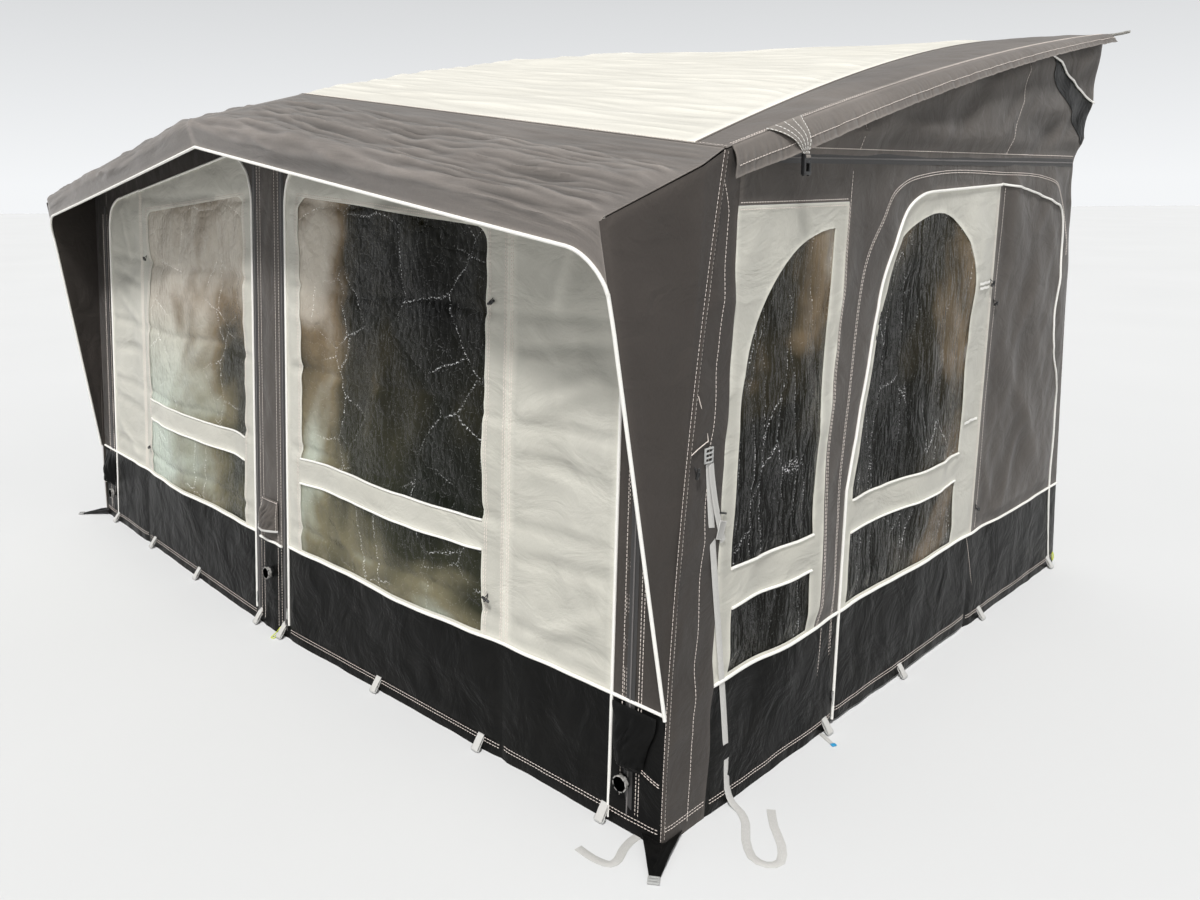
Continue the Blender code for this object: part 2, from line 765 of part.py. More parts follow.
def make_front_fixed():
    """Light strips beside the doors, the dark surround, the corner skirts and the middle column."""
    out = Vector((0, -1, 0))
    half = SEAM / 2
    low = FRONT_SKIRT_TOP + half
    _, strip_arc = light_top(-half)
    hinge = FRONT_HINGE + half
    strip = [(hinge, low), (hinge, light_top_at(hinge) - half)] + strip_arc + [(LIGHT_OUTER - half, low)]
    inner_arc, outer_arc = light_top(half)
    rise = sqrt((LIGHT_CORNER_INNER + half) ** 2 - (LIGHT_CORNER_INNER - half) ** 2)
    surround = [(COLUMN_HALF + half, inner_arc[0][1] + rise)] + inner_arc[1:] + outer_arc
    surround += [(LIGHT_OUTER + half, low)]

    def corner(z):
        return side_x(z) - CLOTH - SEAM

    steps = 5
    surround.append((corner(low), low))
    for step in range(steps + 1):
        x = mix(corner(CORNER_TOP - CLOTH), COLUMN_HALF + half, step / steps)
        z = under_canopy(x, front(x, light_top_at(x)).y + CLOTH)
        surround.append((min(x, corner(z)), z))
    for hand, word in ((1, "right"), (-1, "left")):
        flat_piece("front_strip_" + word, strip, [], front, out, LIGHT, hand)
        flat_piece("front_surround_" + word, surround, [], front, out, DARK, hand)
        skirt = make_corner_skirt("corner_skirt_" + word, hinge, corner, out, hand)
        add_pegs(skirt, front, [FRONT_HINGE * share for share in FRONT_PEG_SHARES] + [CORNER_PEG], hand)
        boolean(skirt, valve_stub("valve_stub_" + word, VALVE_OUT * hand, VALVE_HEIGHT), "UNION")
    rows = []
    column = COLUMN_HALF - half
    levels = 6
    for step in range(levels + 1):
        row = []
        for x in (-column, 0, column):
            top = under_canopy(x, front(x, RIDGE_FRONT).y + CLOTH)
            row.append(front(x, mix(0, top, step / levels)))
        rows.append(row)
    column_piece = grid_piece("center_column", rows, out, DARK)
    add_pegs(column_piece, front, [-COLUMN_PEG, COLUMN_PEG], 1)
    boolean(column_piece, valve_stub("valve_stub_center", 0, VALVE_MIDDLE_HEIGHT), "UNION")


# Side walls

def door_edge(offset):
    """Front and top edge of the side door, from its knee to its crown, grown by offset."""
    points = [(DOOR_FRONT - offset, DOOR_KNEE)]
    shoulder = DOOR_FRONT + DOOR_SHOULDER_SET
    start = (DOOR_FRONT + DOOR_SHOULDER_SET * DOOR_BEND_ACROSS_SHARE,
             mix(DOOR_KNEE, DOOR_SHOULDER, DOOR_BEND_UP_SHARE))
    end = (shoulder + DOOR_SHOULDER_SET, DOOR_TOP_FRONT)
    lean = atan2(start[0] - DOOR_FRONT, start[1] - DOOR_KNEE)
    steps = 6
    for step in range(steps + 1):
        share = step / steps
        u = mix(mix(start[0], shoulder, share), mix(shoulder, end[0], share), share)
        v = mix(mix(start[1], DOOR_TOP_FRONT, share), DOOR_TOP_FRONT, share)
        angle = mix(pi - lean, pi / 2, share)
        points.append((u + offset * cos(angle), v + offset * sin(angle)))
    return points


def side_door_window():
    """Openings of a side door: an arched one over the bar and a low one under it."""
    frame = door_edge(-DOOR_STILE)
    upper = [(frame[0][0], DOOR_BAR_HIGH)] + frame[:4]
    crown = mix(frame[3][0], DOOR_WINDOW_REAR, DOOR_CROWN_SHARE)
    top = DOOR_TOP_FRONT - DOOR_RAIL
    steps = 3
    for step in range(1, steps + 1):
        share = step / steps
        upper.append((mix(frame[3][0], crown, share), mix(frame[3][1], top, sin(share * pi / 2))))
    radius = DOOR_WINDOW_REAR - crown
    upper += arc((crown, top - radius), radius, 90, 0, 5)[1:]
    upper += [(DOOR_WINDOW_REAR, DOOR_BAR_HIGH)]
    low = SIDE_SKIRT_TOP + SILL
    lower = [(frame[0][0], low), (DOOR_WINDOW_REAR, low),
             (DOOR_WINDOW_REAR, DOOR_BAR_LOW), (frame[0][0], DOOR_BAR_LOW)]
    return upper, lower


def make_side_doors():
    out = Vector((1, 0, 0))
    half = SEAM / 2
    low = SIDE_SKIRT_TOP + half
    hinge = DOOR_HINGE - half
    edge = door_edge(-half)
    outline = [(DOOR_FRONT + half, low)] + edge + [(hinge, DOOR_TOP_REAR - half), (hinge, low)]
    upper, lower = side_door_window()
    lap = PANE_LAP
    pane = [(upper[0][0] - lap, low), (DOOR_WINDOW_REAR + lap, low)]
    pane += [(DOOR_WINDOW_REAR + lap, upper[-2][1] + lap)]
    pane += [(u + lap / 2, v + lap) for u, v in reversed(upper[4:-2])]
    pane += [(u - lap / 2, v + lap / 2) for u, v in reversed(upper[1:4])]

    def behind(y, z):
        return side(y, z, -CLOTH - SEAM)

    for hand, word in ((1, "right"), (-1, "left")):
        name = "side_door_" + word
        flat_piece(name + "_panel", outline, [upper, lower], side, out, LIGHT, hand)
        flat_piece(name + "_window", pane, [], behind, out, CLEAR, hand, PANE, 0.1)
        rows = skirt_rows(side, upright(DOOR_FRONT + half), upright(hinge),
                          GROUND_GAP, SIDE_SKIRT_TOP - half)
        skirt = grid_piece(name + "_skirt", rows, out, BLACK, hand, rough=0.35)
        add_pegs(skirt, side, [DOOR_PEG], hand)


def side_window():
    """Openings of the front side panel, the upper one with a great round shoulder."""
    rise = SIDE_WINDOW_TOP - SIDE_WINDOW_SHOULDER
    run = SIDE_WINDOW_REAR_HIGH - SIDE_WINDOW_FRONT
    upper = [(SIDE_WINDOW_FRONT, SIDE_BAR_HIGH)]
    steps = 7
    for step in range(steps + 1):
        angle = mix(pi, pi / 2, step / steps)
        upper.append((SIDE_WINDOW_FRONT + run * (1 + cos(angle)), SIDE_WINDOW_SHOULDER + rise * sin(angle)))
    upper.append((mix(SIDE_WINDOW_REAR_LOW, SIDE_WINDOW_REAR_HIGH, 0.1), SIDE_BAR_HIGH))
    low = SIDE_SKIRT_TOP + SILL
    lower = [(SIDE_WINDOW_FRONT, low), (SIDE_WINDOW_REAR_LOW, low),
             (SIDE_WINDOW_REAR_LOW, SIDE_BAR_LOW), (SIDE_WINDOW_FRONT, SIDE_BAR_LOW)]
    return upper, lower


def make_side_fixed():
    """Light front panel with its window, dark wall round the door, and the skirts beside it."""
    out = Vector((1, 0, 0))
    half = SEAM / 2
    low = SIDE_SKIRT_TOP + half
    top = SIDE_PANEL_TOP

    def start(z):
        return flap_edge(z) + half

    panel = [(start(low), low), (SIDE_PANEL_REAR_LOW - half, low), (SIDE_PANEL_REAR_HIGH - half, top - half),
             (start(top), top - half)]
    upper, lower = side_window()
    lap = PANE_LAP
    pane = [(SIDE_WINDOW_FRONT - lap, low), (SIDE_WINDOW_REAR_LOW + lap, low),
            (SIDE_WINDOW_REAR_HIGH + lap, SIDE_WINDOW_TOP + lap)]
    pane += [(u - lap, v + lap) for u, v in reversed(upper[1:-2:2])]

    def behind(y, z):
        return side(y, z, -CLOTH - SEAM)

    edge = door_edge(half)
    hinge = DOOR_HINGE + half
    wall = [(SIDE_PANEL_REAR_LOW + half, low), (SIDE_PANEL_REAR_HIGH + half, top + half), (start(top), top + half),
            (start(top), GUTTER - half), (REAR_GUTTER, GUTTER - half), (rear_y(low), low), (hinge, low),
            (hinge, DOOR_TOP_REAR + half)]
    wall += list(reversed(edge)) + [(DOOR_FRONT - half, low)]
    for hand, word in ((1, "right"), (-1, "left")):
        flat_piece("side_panel_" + word, panel, [upper, lower], side, out, LIGHT, hand)
        flat_piece("side_window_" + word, pane, [], behind, out, CLEAR, hand, PANE, 0.1)
        flat_piece("side_wall_" + word, wall, [], side, out, DARK, hand)
        top_row = SIDE_SKIRT_TOP - half
        rows = skirt_rows(side, start, upright(DOOR_FRONT - half), 0, top_row)
        skirt = grid_piece("side_skirt_" + word, rows, out, BLACK, hand, rough=0.35)
        add_pegs(skirt, side, [SIDE_PEG], hand)
        rows = skirt_rows(side, upright(hinge), rear_y, 0, top_row)
        skirt = grid_piece("rear_skirt_" + word, rows, out, BLACK, hand, rough=0.35)
        add_pegs(skirt, side, REAR_PEGS, hand)


# Valves

def turned(name, x, z, stations, outline, colour):
    """A short body of revolution or lugged outline that looks out of the front wall."""
    base = front(x, z)
    rings = [[Vector((base.x + a * grow, base.y - stand, base.z + b * grow)) for a, b in outline]
             for stand, grow in stations]
    return swept_piece(name, rings, colour, rough=0.4)


def valve_stub(name, x, z):
    circle = arc((0, 0), VALVE_RADIUS, 0, 337.5, 15)
    return turned(name, x, z, ((-CLOTH / 2, 1), (VALVE_STUB, 1)), circle, BLACK)


def make_valve_caps():
    outline = []
    for step in range(CAP_LUGS * 4):
        radius = CAP_RADIUS * (1 if step % 4 < 2 else CAP_WAIST_SHARE)
        angle = 2 * pi * step / (CAP_LUGS * 4)
        outline.append((radius * cos(angle), radius * sin(angle)))
    near = VALVE_STUB + SEAM
    dish = CAP_THICK / 4
    stations = ((near, 1), (near + CAP_THICK - dish, 1), (near + CAP_THICK, CAP_WAIST_SHARE))
    for word, x, z in (("right", VALVE_OUT, VALVE_HEIGHT), ("left", -VALVE_OUT, VALVE_HEIGHT),
                       ("center", 0, VALVE_MIDDLE_HEIGHT)):
        turned("valve_cap_" + word, x, z, stations, outline, WHITE)


# Zip sliders

def make_slider(name, place, spot, hand):
    """A slider body with its pull hanging flat on it, one solid."""
    def level(height):
        return lambda u, v: SLIDER_LAY + height

    waist = SLIDER_WIDE * SLIDER_WAIST_SHARE / 2
    half = SLIDER_WIDE / 2
    body = [(spot - waist, SLIDER_HEIGHT), (spot + waist, SLIDER_HEIGHT),
            (spot + half, SLIDER_HEIGHT + SLIDER_LONG), (spot - half, SLIDER_HEIGHT + SLIDER_LONG)]
    piece = finish(name, block([body], place, level(0), level(SLIDER_THICK), hand), BLACK, 0.3)
    hang = rectangle(spot, SLIDER_HEIGHT + (SLIDER_LONG - PULL_LONG) / 2, PULL_WIDE, PULL_LONG)
    low, high = SLIDER_THICK - PULL_THICK / 2, SLIDER_THICK + PULL_THICK / 2
    pull = finish(name + "_pull", block([hang], place, level(low), level(high), hand), BLACK)
    boolean(piece, pull, "UNION")


def make_sliders():
    for hand, word in ((1, "right"), (-1, "left")):
        make_slider("zip_slider_front_" + word, front, COLUMN_HALF - SLIDER_WIDE / 2, hand)
        make_slider("zip_slider_side_" + word, side, DOOR_FRONT - SLIDER_WIDE / 2 - SEAM * 3, hand)


# Webbing and fittings at the right corner

def lock_frame(middle_u, middle_v):
    """Outline and three slots of a ladder lock."""
    wide = LOCK_WIDE - 2 * LOCK_BAR
    pitch = (LOCK_LONG - LOCK_BAR) / 3
    loops = [rectangle(middle_u, middle_v, LOCK_WIDE, LOCK_LONG)]
    for step in (-1, 0, 1):
        loops.append(rectangle(middle_u, middle_v + step * pitch, wide, pitch - LOCK_BAR))
    return loops


def make_ladder_lock():
    loops = lock_frame(LOCK_PLACE, LOCK_HEIGHT)
    body = block(loops, side, lambda u, v: SEAM, lambda u, v: SEAM + LOCK_THICK)
    finish("ladder_lock", body, GREY, rough=0.5)


def make_buckle():
    """The open half of a side-release buckle that hangs below the edge flap."""
    lowest = BUCKLE_PLACE - BUCKLE_WIDE / 2
    share = (lowest - EDGE_FLAP_START) / (EDGE_FLAP_END - EDGE_FLAP_START)
    drop = mix(EDGE_FLAP_FRONT_DROP, EDGE_FLAP_REAR_DROP, share)
    tilt = atan2(EDGE_FLAP_OUT, drop)
    top = edge_z(lowest) - drop - CLOTH * sin(tilt) - 2 * SEAM
    out = roof_half(BUCKLE_PLACE) + CLOTH * cos(tilt) + EDGE_FLAP_OUT

    def place(y, z, stand):
        return Vector((out - BUCKLE_THICK / 2 + stand, y, z))

    middle = top - BUCKLE_LONG / 2
    slot_z = top - BUCKLE_SLOT
    loops = [rectangle(BUCKLE_PLACE, middle, BUCKLE_WIDE, BUCKLE_LONG),
             rectangle(BUCKLE_PLACE, slot_z, WEB_WIDE, BUCKLE_SLOT)]
    mouth = rectangle(BUCKLE_PLACE, middle - BUCKLE_MOUTH / 3, BUCKLE_WIDE * 0.55, BUCKLE_MOUTH)
    body = block(loops + [mouth], place, lambda u, v: 0, lambda u, v: BUCKLE_THICK)
    finish("buckle", body, BLACK, rough=0.5)


def smooth_route(points, per_span):
    """A smooth curve through a strap's own points."""
    spots = [Vector(point) for point in points]
    route = []
    for index in range(len(spots) - 1):
        before = spots[max(index - 1, 0)]
        start, end = spots[index], spots[index + 1]
        after = spots[min(index + 2, len(spots) - 1)]
        for step in range(per_span):
            t = step / per_span
            a = start * 2
            b = (end - before) * t
            c = (before * 2 - start * 5 + end * 4 - after) * (t * t)
            d = (start * 3 - before - end * 3 + after) * (t * t * t)
            route.append((a + b + c + d) / 2)
    route.append(spots[-1])
    return route


def make_strap(name, points, flat, per_span):
    """Flat webbing swept along its route. Its face turns from flat at the start to level on the ground."""
    route = smooth_route(points, per_span)
    rings = []
    normal = Vector(flat)
    for index, point in enumerate(route):
        before, after = route[max(index - 1, 0)], route[min(index + 1, len(route) - 1)]
        along = (after - before).normalized()
        normal = (normal - along * normal.dot(along)).normalized()
        if point.z < WEB_WIDE:
            normal = normal.lerp(Vector((0, 0, 1)), 0.5)
            normal = (normal - along * normal.dot(along)).normalized()
        wide = along.cross(normal) * (WEB_WIDE / 2)
        thick = normal * (WEB_THICK / 2)
        rings.append([point - wide - thick, point + wide - thick, point + wide + thick, point - wide + thick])
    return swept_piece(name, rings, GREY)


# Routes of the two straps. On the wall: place along the side and height. On the ground: how far the
# point lies outside the wall's foot, and its place along the side.
STORM_WALL = [(0.158, 1.0450), (0.163, 1.000), (0.176, 0.900), (0.207, 0.700), (0.240, 0.500),
              (0.272, 0.300), (0.295, 0.140), (0.303, 0.050)]
STORM_GROUND = [(0.060, 0.295), (0.100, 0.262), (0.140, 0.205), (0.190, 0.160), (0.235, 0.160),
                (0.255, 0.197), (0.220, 0.255), (0.160, 0.310), (0.115, 0.365)]
FOOT_GROUND = [(-0.077, -0.025), (-0.067, -0.065), (-0.052, -0.100), (-0.055, -0.128), (-0.085, -0.140),
               (-0.120, -0.143), (-0.160, -0.141)]


def make_webbing():
    lay = WEB_THICK / 2 + SEAM
    wall = [side(y, z, lay + SKIRT_FOLD / 2 * (1 - z / LOCK_HEIGHT)) for y, z in STORM_WALL]
    bend = [side(STORM_WALL[-1][0], lay + WEB_WIDE / 3, WEB_WIDE)]
    ground = [Vector((BASE_HALF + out, y, lay)) for out, y in STORM_GROUND]
    make_strap("storm_strap", wall + bend + ground, (1, 0, 0), 2)
    seat = front(BASE_HALF - FOOT_STRAP_IN - WEB_WIDE / 2, lay, SKIRT_FOLD / 3)
    seat.x += WEB_WIDE / 2
    ground = [seat] + [Vector((BASE_HALF + out, y, lay)) for out, y in FOOT_GROUND]
    make_strap("foot_strap", ground, (0, 0, 1), 2)


for old in list(bpy.data.objects):
    bpy.data.objects.remove(old, do_unlink=True)

make_air_beams()
make_roof()
make_canopy()
make_edge_flaps()
make_rail_bead()
make_gables()
make_corner_flaps()
make_wings()
make_front_doors()
make_front_fixed()
make_side_doors()
make_side_fixed()
make_valve_caps()
make_sliders()
make_ladder_lock()
make_buckle()
make_webbing()
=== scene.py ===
# Caravan awning on air beams: cloth, panes, piping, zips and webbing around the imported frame.
# x runs along the caravan, y towards it, z up, all in metres. Places along y are counted from the
# front wall's foot line, and middle moves them to the frame's own y.

from functools import partial
from math import atan2, ceil, cos, exp, pi, radians, sin, sqrt

import bmesh
import bpy
from mathutils import Matrix, Vector, noise


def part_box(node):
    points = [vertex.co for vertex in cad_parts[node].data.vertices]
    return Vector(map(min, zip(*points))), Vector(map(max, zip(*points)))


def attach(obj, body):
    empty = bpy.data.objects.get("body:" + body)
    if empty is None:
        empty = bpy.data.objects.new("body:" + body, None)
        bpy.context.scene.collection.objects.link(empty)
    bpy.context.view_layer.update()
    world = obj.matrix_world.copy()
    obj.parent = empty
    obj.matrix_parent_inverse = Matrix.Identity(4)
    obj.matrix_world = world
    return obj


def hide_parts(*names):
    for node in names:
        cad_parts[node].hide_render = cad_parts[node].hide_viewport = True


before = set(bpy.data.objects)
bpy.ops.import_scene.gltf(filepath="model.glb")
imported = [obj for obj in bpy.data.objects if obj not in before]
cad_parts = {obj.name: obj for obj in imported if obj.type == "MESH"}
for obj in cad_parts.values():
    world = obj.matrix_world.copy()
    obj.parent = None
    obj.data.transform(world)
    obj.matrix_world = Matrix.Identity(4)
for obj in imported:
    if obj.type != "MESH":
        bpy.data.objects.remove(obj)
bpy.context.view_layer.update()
middle = 1.323
hands = ((1, "right"), (-1, "left"))
frontOut, sideOut, upwards = (0, -1, 0), (1, 0, 0), (0, 0, 1)
# what two cloths that meet leave free, each on its own side
edgeGap, seamGap = 0.0002, 0.00015

shell = {
    "half": 1.95, "depth": 2.90, "frontSet": 0.016, "frontBow": 0.079, "frontLean": 0.04, "sideLean": 0.027,
    "cloth": 0.004, "seam": 0.0003, "wall": 0.0022, "gutter": 1.835, "cornerTop": 1.856,
    "frontSkirt": 0.375, "sideSkirt": 0.395, "threshold": 0.052, "groundGap": 0.012,
    "edge": (1.808, 2.383, 0.365), "ridge": (2.075, 2.462, 0.761),
    "junction": 0.18, "bands": (0.05, 0.37), "eaveHalf": 1.907, "eaveOut": (0.294, 0.183),
    "eaveHigh": (1.999, 1.687), "fasciaIn": 0.028, "fasciaDrop": (0.094, 0.081), "fillet": 0.10,
    "seamLead": 0.017, "seamSetBack": 0.165, "flapFoot": 0.20, "flapEdge": 0.245, "panelTop": 1.71,
    "rearFoot": 2.88, "rearSkirt": 2.82, "rearGutter": 2.63, "rearTop": 2.86,
    "columnHalf": 0.125, "lightOuter": 1.765, "hinge": 1.33,
}


def mix(a, b, share):
    return a + (b - a) * share


def ease(share):
    share = max(0.0, min(1.0, share))
    return share * share * (3 - 2 * share)


def fade(value, low, high, margin):
    return ease((value - low) / margin) * ease((high - value) / margin)


def arch(y, ends):
    low, high, bend = ends
    share = y / shell["depth"]
    return low + (high - low) * share * (1 + bend * (1 - share))


slack = {
    "front": 0.030, "side": 0.026, "long": 0.42, "short": 0.17, "share": 0.35, "pin": 0.10,
    "zip": 0.885, "sideHinge": 1.90,
}


def sway(u, v, seed, pins):
    # the hung walls belly in and out between their hinges, zips, foot and top
    waves = noise.noise(Vector((u / slack["long"], v / (2.2 * slack["long"]), seed)))
    waves += slack["share"] * noise.noise(Vector((u / slack["short"], v / (3.0 * slack["short"]), seed + 5)))
    free = fade(v, 0.05, shell["gutter"], 0.30)
    for pin in pins:
        free *= 1 - exp(-((u - pin) / slack["pin"]) ** 2)
    return waves * free


def front(x, z, out=0.0):
    y = shell["frontSet"] + shell["frontLean"] * z - shell["frontBow"] * (1 - abs(x) / shell["half"])
    free = fade(abs(x), shell["columnHalf"], shell["lightOuter"] - 0.01, 0.16)
    y -= slack["front"] * free * sway(abs(x), z, 2.6, (shell["hinge"],)) if free else 0
    return Vector((x, y - out, z))


def sideX(z):
    return shell["half"] + shell["sideLean"] * z


def side(y, z, out=0.0):
    free = fade(y, 0.255, shell["rearGutter"], 0.20)
    belly = slack["side"] * free * sway(y, z, 9.1, (slack["zip"], slack["sideHinge"])) if free else 0
    return Vector((sideX(z) + belly + out, y, z))


def edgeZ(y):
    return arch(y, shell["edge"])


def ridgeZ(y):
    return arch(y, shell["ridge"])


def roofHalf(y):
    return sideX(edgeZ(y))


def roofZ(x, y):
    return mix(ridgeZ(y), edgeZ(y), abs(x) / roofHalf(y))


def lightHalf(y):
    share = (y - shell["junction"]) / (shell["depth"] - shell["junction"])
    return shell["half"] - mix(shell["bands"][0], shell["bands"][1], share)


def seamY(z):
    return shell["seamLead"] + shell["seamSetBack"] * (z / shell["cornerTop"]) ** 2


def eaveEnd():
    return shell["eaveHalf"] - shell["cloth"] - shell["seam"]


def canopyHalf(y):
    wide = roofHalf(shell["junction"]) - shell["cloth"] - 2 * shell["seam"]
    bend = front(shell["half"], shell["cornerTop"]).y
    return mix(eaveEnd(), wide, min(1, (y + shell["eaveOut"][1]) / (bend + shell["eaveOut"][1])))


def canopyPoint(across, down):
    rearZ = roofZ(across * canopyHalf(shell["junction"]), shell["junction"])
    y = mix(shell["junction"], -mix(shell["eaveOut"][0], shell["eaveOut"][1], across), down)
    z = mix(rearZ, mix(shell["eaveHigh"][0], shell["eaveHigh"][1], across), down)
    return Vector((across * canopyHalf(y), y, z))


def fasciaPoint(across):
    # the opening's upper corner is rounded by radius fillet
    drop = mix(shell["fasciaDrop"][0], shell["fasciaDrop"][1], across)
    near = max(0, shell["fillet"] - (1 - across) * shell["eaveHalf"])
    extra = shell["fillet"] - sqrt(max(0, shell["fillet"] ** 2 - near ** 2))
    inset = mix(shell["fasciaIn"], 0, across)
    return canopyPoint(across, 1) + Vector((extra * 0.11, inset + extra * 0.26, -drop - extra))


def underCanopy(x, y):
    across = abs(x) / roofHalf(shell["junction"])
    down = 0
    for _ in range(4):
        eave = canopyPoint(across, 1)
        down = (shell["junction"] - y) / (shell["junction"] - eave.y)
        across *= abs(x) / max(canopyPoint(across, down).x, shell["seam"])
    return canopyPoint(across, down).z - 0.0075


def edgeUnder(y):
    return edgeZ(y) - 0.0062


def flapEdge(z):
    return mix(shell["flapFoot"], shell["flapEdge"], min(1, z / shell["panelTop"]))


def rearY(z):
    if z <= shell["sideSkirt"]:
        return mix(shell["rearFoot"], shell["rearSkirt"], z / shell["sideSkirt"])
    share = (z - shell["sideSkirt"]) / (shell["gutter"] - shell["sideSkirt"])
    return mix(shell["rearSkirt"], shell["rearGutter"], share)


def mirrored(point, hand):
    return Vector((point.x * hand, point.y, point.z))


def smoothLine(points, perSpan):
    spots = [Vector(point) for point in points]
    line = []
    for index in range(len(spots) - 1):
        before = spots[max(index - 1, 0)]
        start, end = spots[index], spots[index + 1]
        after = spots[min(index + 2, len(spots) - 1)]
        for step in range(perSpan):
            t = step / perSpan
            b = (end - before) * t
            c = (before * 2 - start * 5 + end * 4 - after) * (t * t)
            d = (start * 3 - before - end * 3 + after) * (t * t * t)
            line.append((start * 2 + b + c + d) / 2)
    line.append(spots[-1])
    return line


def evenly(points, pitch):
    # the same line with points a fixed way apart
    walked = [0.0]
    for a, b in zip(points, points[1:]):
        walked.append(walked[-1] + (b - a).length)
    count = max(1, round(walked[-1] / pitch))
    line, place = [], 0
    for step in range(count + 1):
        want = walked[-1] * step / count
        while place < len(points) - 2 and walked[place + 1] < want:
            place += 1
        span = max(walked[place + 1] - walked[place], 1e-9)
        line.append(points[place].lerp(points[place + 1], min(1, max(0, (want - walked[place]) / span))))
    return line


# Camera

lens = {
    "place": (3.487, -3.201, 1.778), "turn": 45.73, "tilt": 8.61, "roll": -0.4,
    "focal": 29.71, "shiftX": 0.0397, "shiftY": -0.0998,
}


def makeCamera():
    turn, tilt, roll = radians(lens["turn"]), radians(lens["tilt"]), radians(lens["roll"])
    ahead = Vector((-sin(turn) * cos(tilt), cos(turn) * cos(tilt), -sin(tilt)))
    right = Vector((cos(turn), sin(turn), 0))
    up = right.cross(ahead)
    x = right * cos(roll) + up * sin(roll)
    y = up * cos(roll) - right * sin(roll)
    data = bpy.data.cameras.new("camera")
    data.lens, data.sensor_width = lens["focal"], 36
    data.shift_x, data.shift_y = lens["shiftX"], lens["shiftY"]
    data.clip_end = 60
    eye = bpy.data.objects.new("camera", data)
    bpy.context.scene.collection.objects.link(eye)
    turned = Matrix((x, y, -ahead)).transposed().to_4x4()
    eye.matrix_world = Matrix.Translation(Vector(lens["place"])) @ turned
    bpy.context.scene.camera = eye


makeCamera()
print("camera set")


# Finishes

def newFinish(name, colour, rough, **sockets):
    material = bpy.data.materials.new(name)
    material.use_nodes = True
    shader = material.node_tree.nodes["Principled BSDF"]
    shader.inputs["Base Color"].default_value = (*colour, 1)
    shader.inputs["Roughness"].default_value = rough
    for socket, value in sockets.items():
        shader.inputs[socket].default_value = value
    return material, shader


def addNode(material, kind, **values):
    node = material.node_tree.nodes.new(kind)
    for name, value in values.items():
        if hasattr(node, name):
            setattr(node, name, value)
        else:
            node.inputs[name.replace("_", " ").title()].default_value = value
    return node


def join(material, *pairs):
    for source, target in pairs:
        material.node_tree.links.new(source, target)


def objectPlace(material):
    return addNode(material, "ShaderNodeTexCoord").outputs["Object"]


def cutPlace(material):
    return addNode(material, "ShaderNodeUVMap", uv_map="cut").outputs[0]


def noiseAt(material, coordinates, scale, detail=3.0, stretch=(1, 1, 1), rough=0.5, distortion=0.0):
    spread = addNode(material, "ShaderNodeMapping")
    spread.inputs["Scale"].default_value = stretch
    grain = addNode(material, "ShaderNodeTexNoise", scale=scale, detail=detail, roughness=rough,
                    distortion=distortion)
    join(material, (coordinates, spread.inputs["Vector"]), (spread.outputs[0], grain.inputs["Vector"]))
    return grain.outputs["Fac"]


def rampOn(material, value, stops):
    ramp = addNode(material, "ShaderNodeValToRGB")
    ends = ramp.color_ramp.elements
    ends[0].position, ends[0].color = stops[0][0], (*stops[0][1], 1)
    ends[1].position, ends[1].color = stops[-1][0], (*stops[-1][1], 1)
    for place, colour in stops[1:-1]:
        ends.new(place).color = (*colour, 1)
    join(material, (value, ramp.inputs[0]))
    return ramp.outputs[0]


def greys(*stops):
    return [(place, (level,) * 3) for place, level in stops]


def blendOf(material, kind, share, a, b):
    node = addNode(material, "ShaderNodeMix", data_type="RGBA", blend_type=kind)
    if isinstance(share, float):
        node.inputs[0].default_value = share
    else:
        join(material, (share, node.inputs[0]))
    for socket, value in ((node.inputs[6], a), (node.inputs[7], b)):
        if isinstance(value, tuple):
            socket.default_value = (*value, 1)
        else:
            join(material, (value, socket))
    return node.outputs[2]


def product(material, tone, *others):
    for other in others:
        tone = blendOf(material, "MULTIPLY", 1.0, tone, other)
    return tone


def figured(material, operation, a, b):
    node = addNode(material, "ShaderNodeMath", operation=operation)
    join(material, (a, node.inputs[0]))
    if isinstance(b, float):
        node.inputs[1].default_value = b
    else:
        join(material, (b, node.inputs[1]))
    return node.outputs[0]


def mapped(material, value, source, target):
    node = addNode(material, "ShaderNodeMapRange")
    for name, ends in (("From", source), ("To", target)):
        for part, end in zip((" Min", " Max"), ends):
            node.inputs[name + part].default_value = end
    join(material, (value, node.inputs["Value"]))
    return node.outputs[0]


def bumpOf(material, height, distance, before=None):
    node = addNode(material, "ShaderNodeBump", strength=1.0, distance=distance)
    join(material, (height, node.inputs["Height"]))
    if before is not None:
        join(material, (before, node.inputs["Normal"]))
    return node.outputs[0]


def weaveOf(material, coordinates, pitch):
    # threads over and under, as two crossed waves
    heights = []
    for direction in ("X", "Y"):
        wave = addNode(material, "ShaderNodeTexWave", wave_type="BANDS", bands_direction=direction)
        wave.inputs["Scale"].default_value = 0.314 / pitch
        join(material, (coordinates, wave.inputs["Vector"]))
        heights.append(wave.outputs["Fac"])
    return figured(material, "MULTIPLY", *heights)


clothSizes = {
    "sheen": 0.15, "specular": 0.35, "patch": 1.7, "mottle": 0.5, "dust": 0.25, "dustTop": 0.55,
    "soil": (0.16, 0.14, 0.11), "stretch": (1, 1, 1), "foldScale": 4.0, "foldDark": 0.96,
    "wornScale": 2.2, "wornDark": 0.93, "wornLight": 1.06, "crest": 0.25, "creaseScale": 14.0,
    "creaseDepth": 0.006, "weave": 0.0022, "weaveDepth": 0.00006,
}


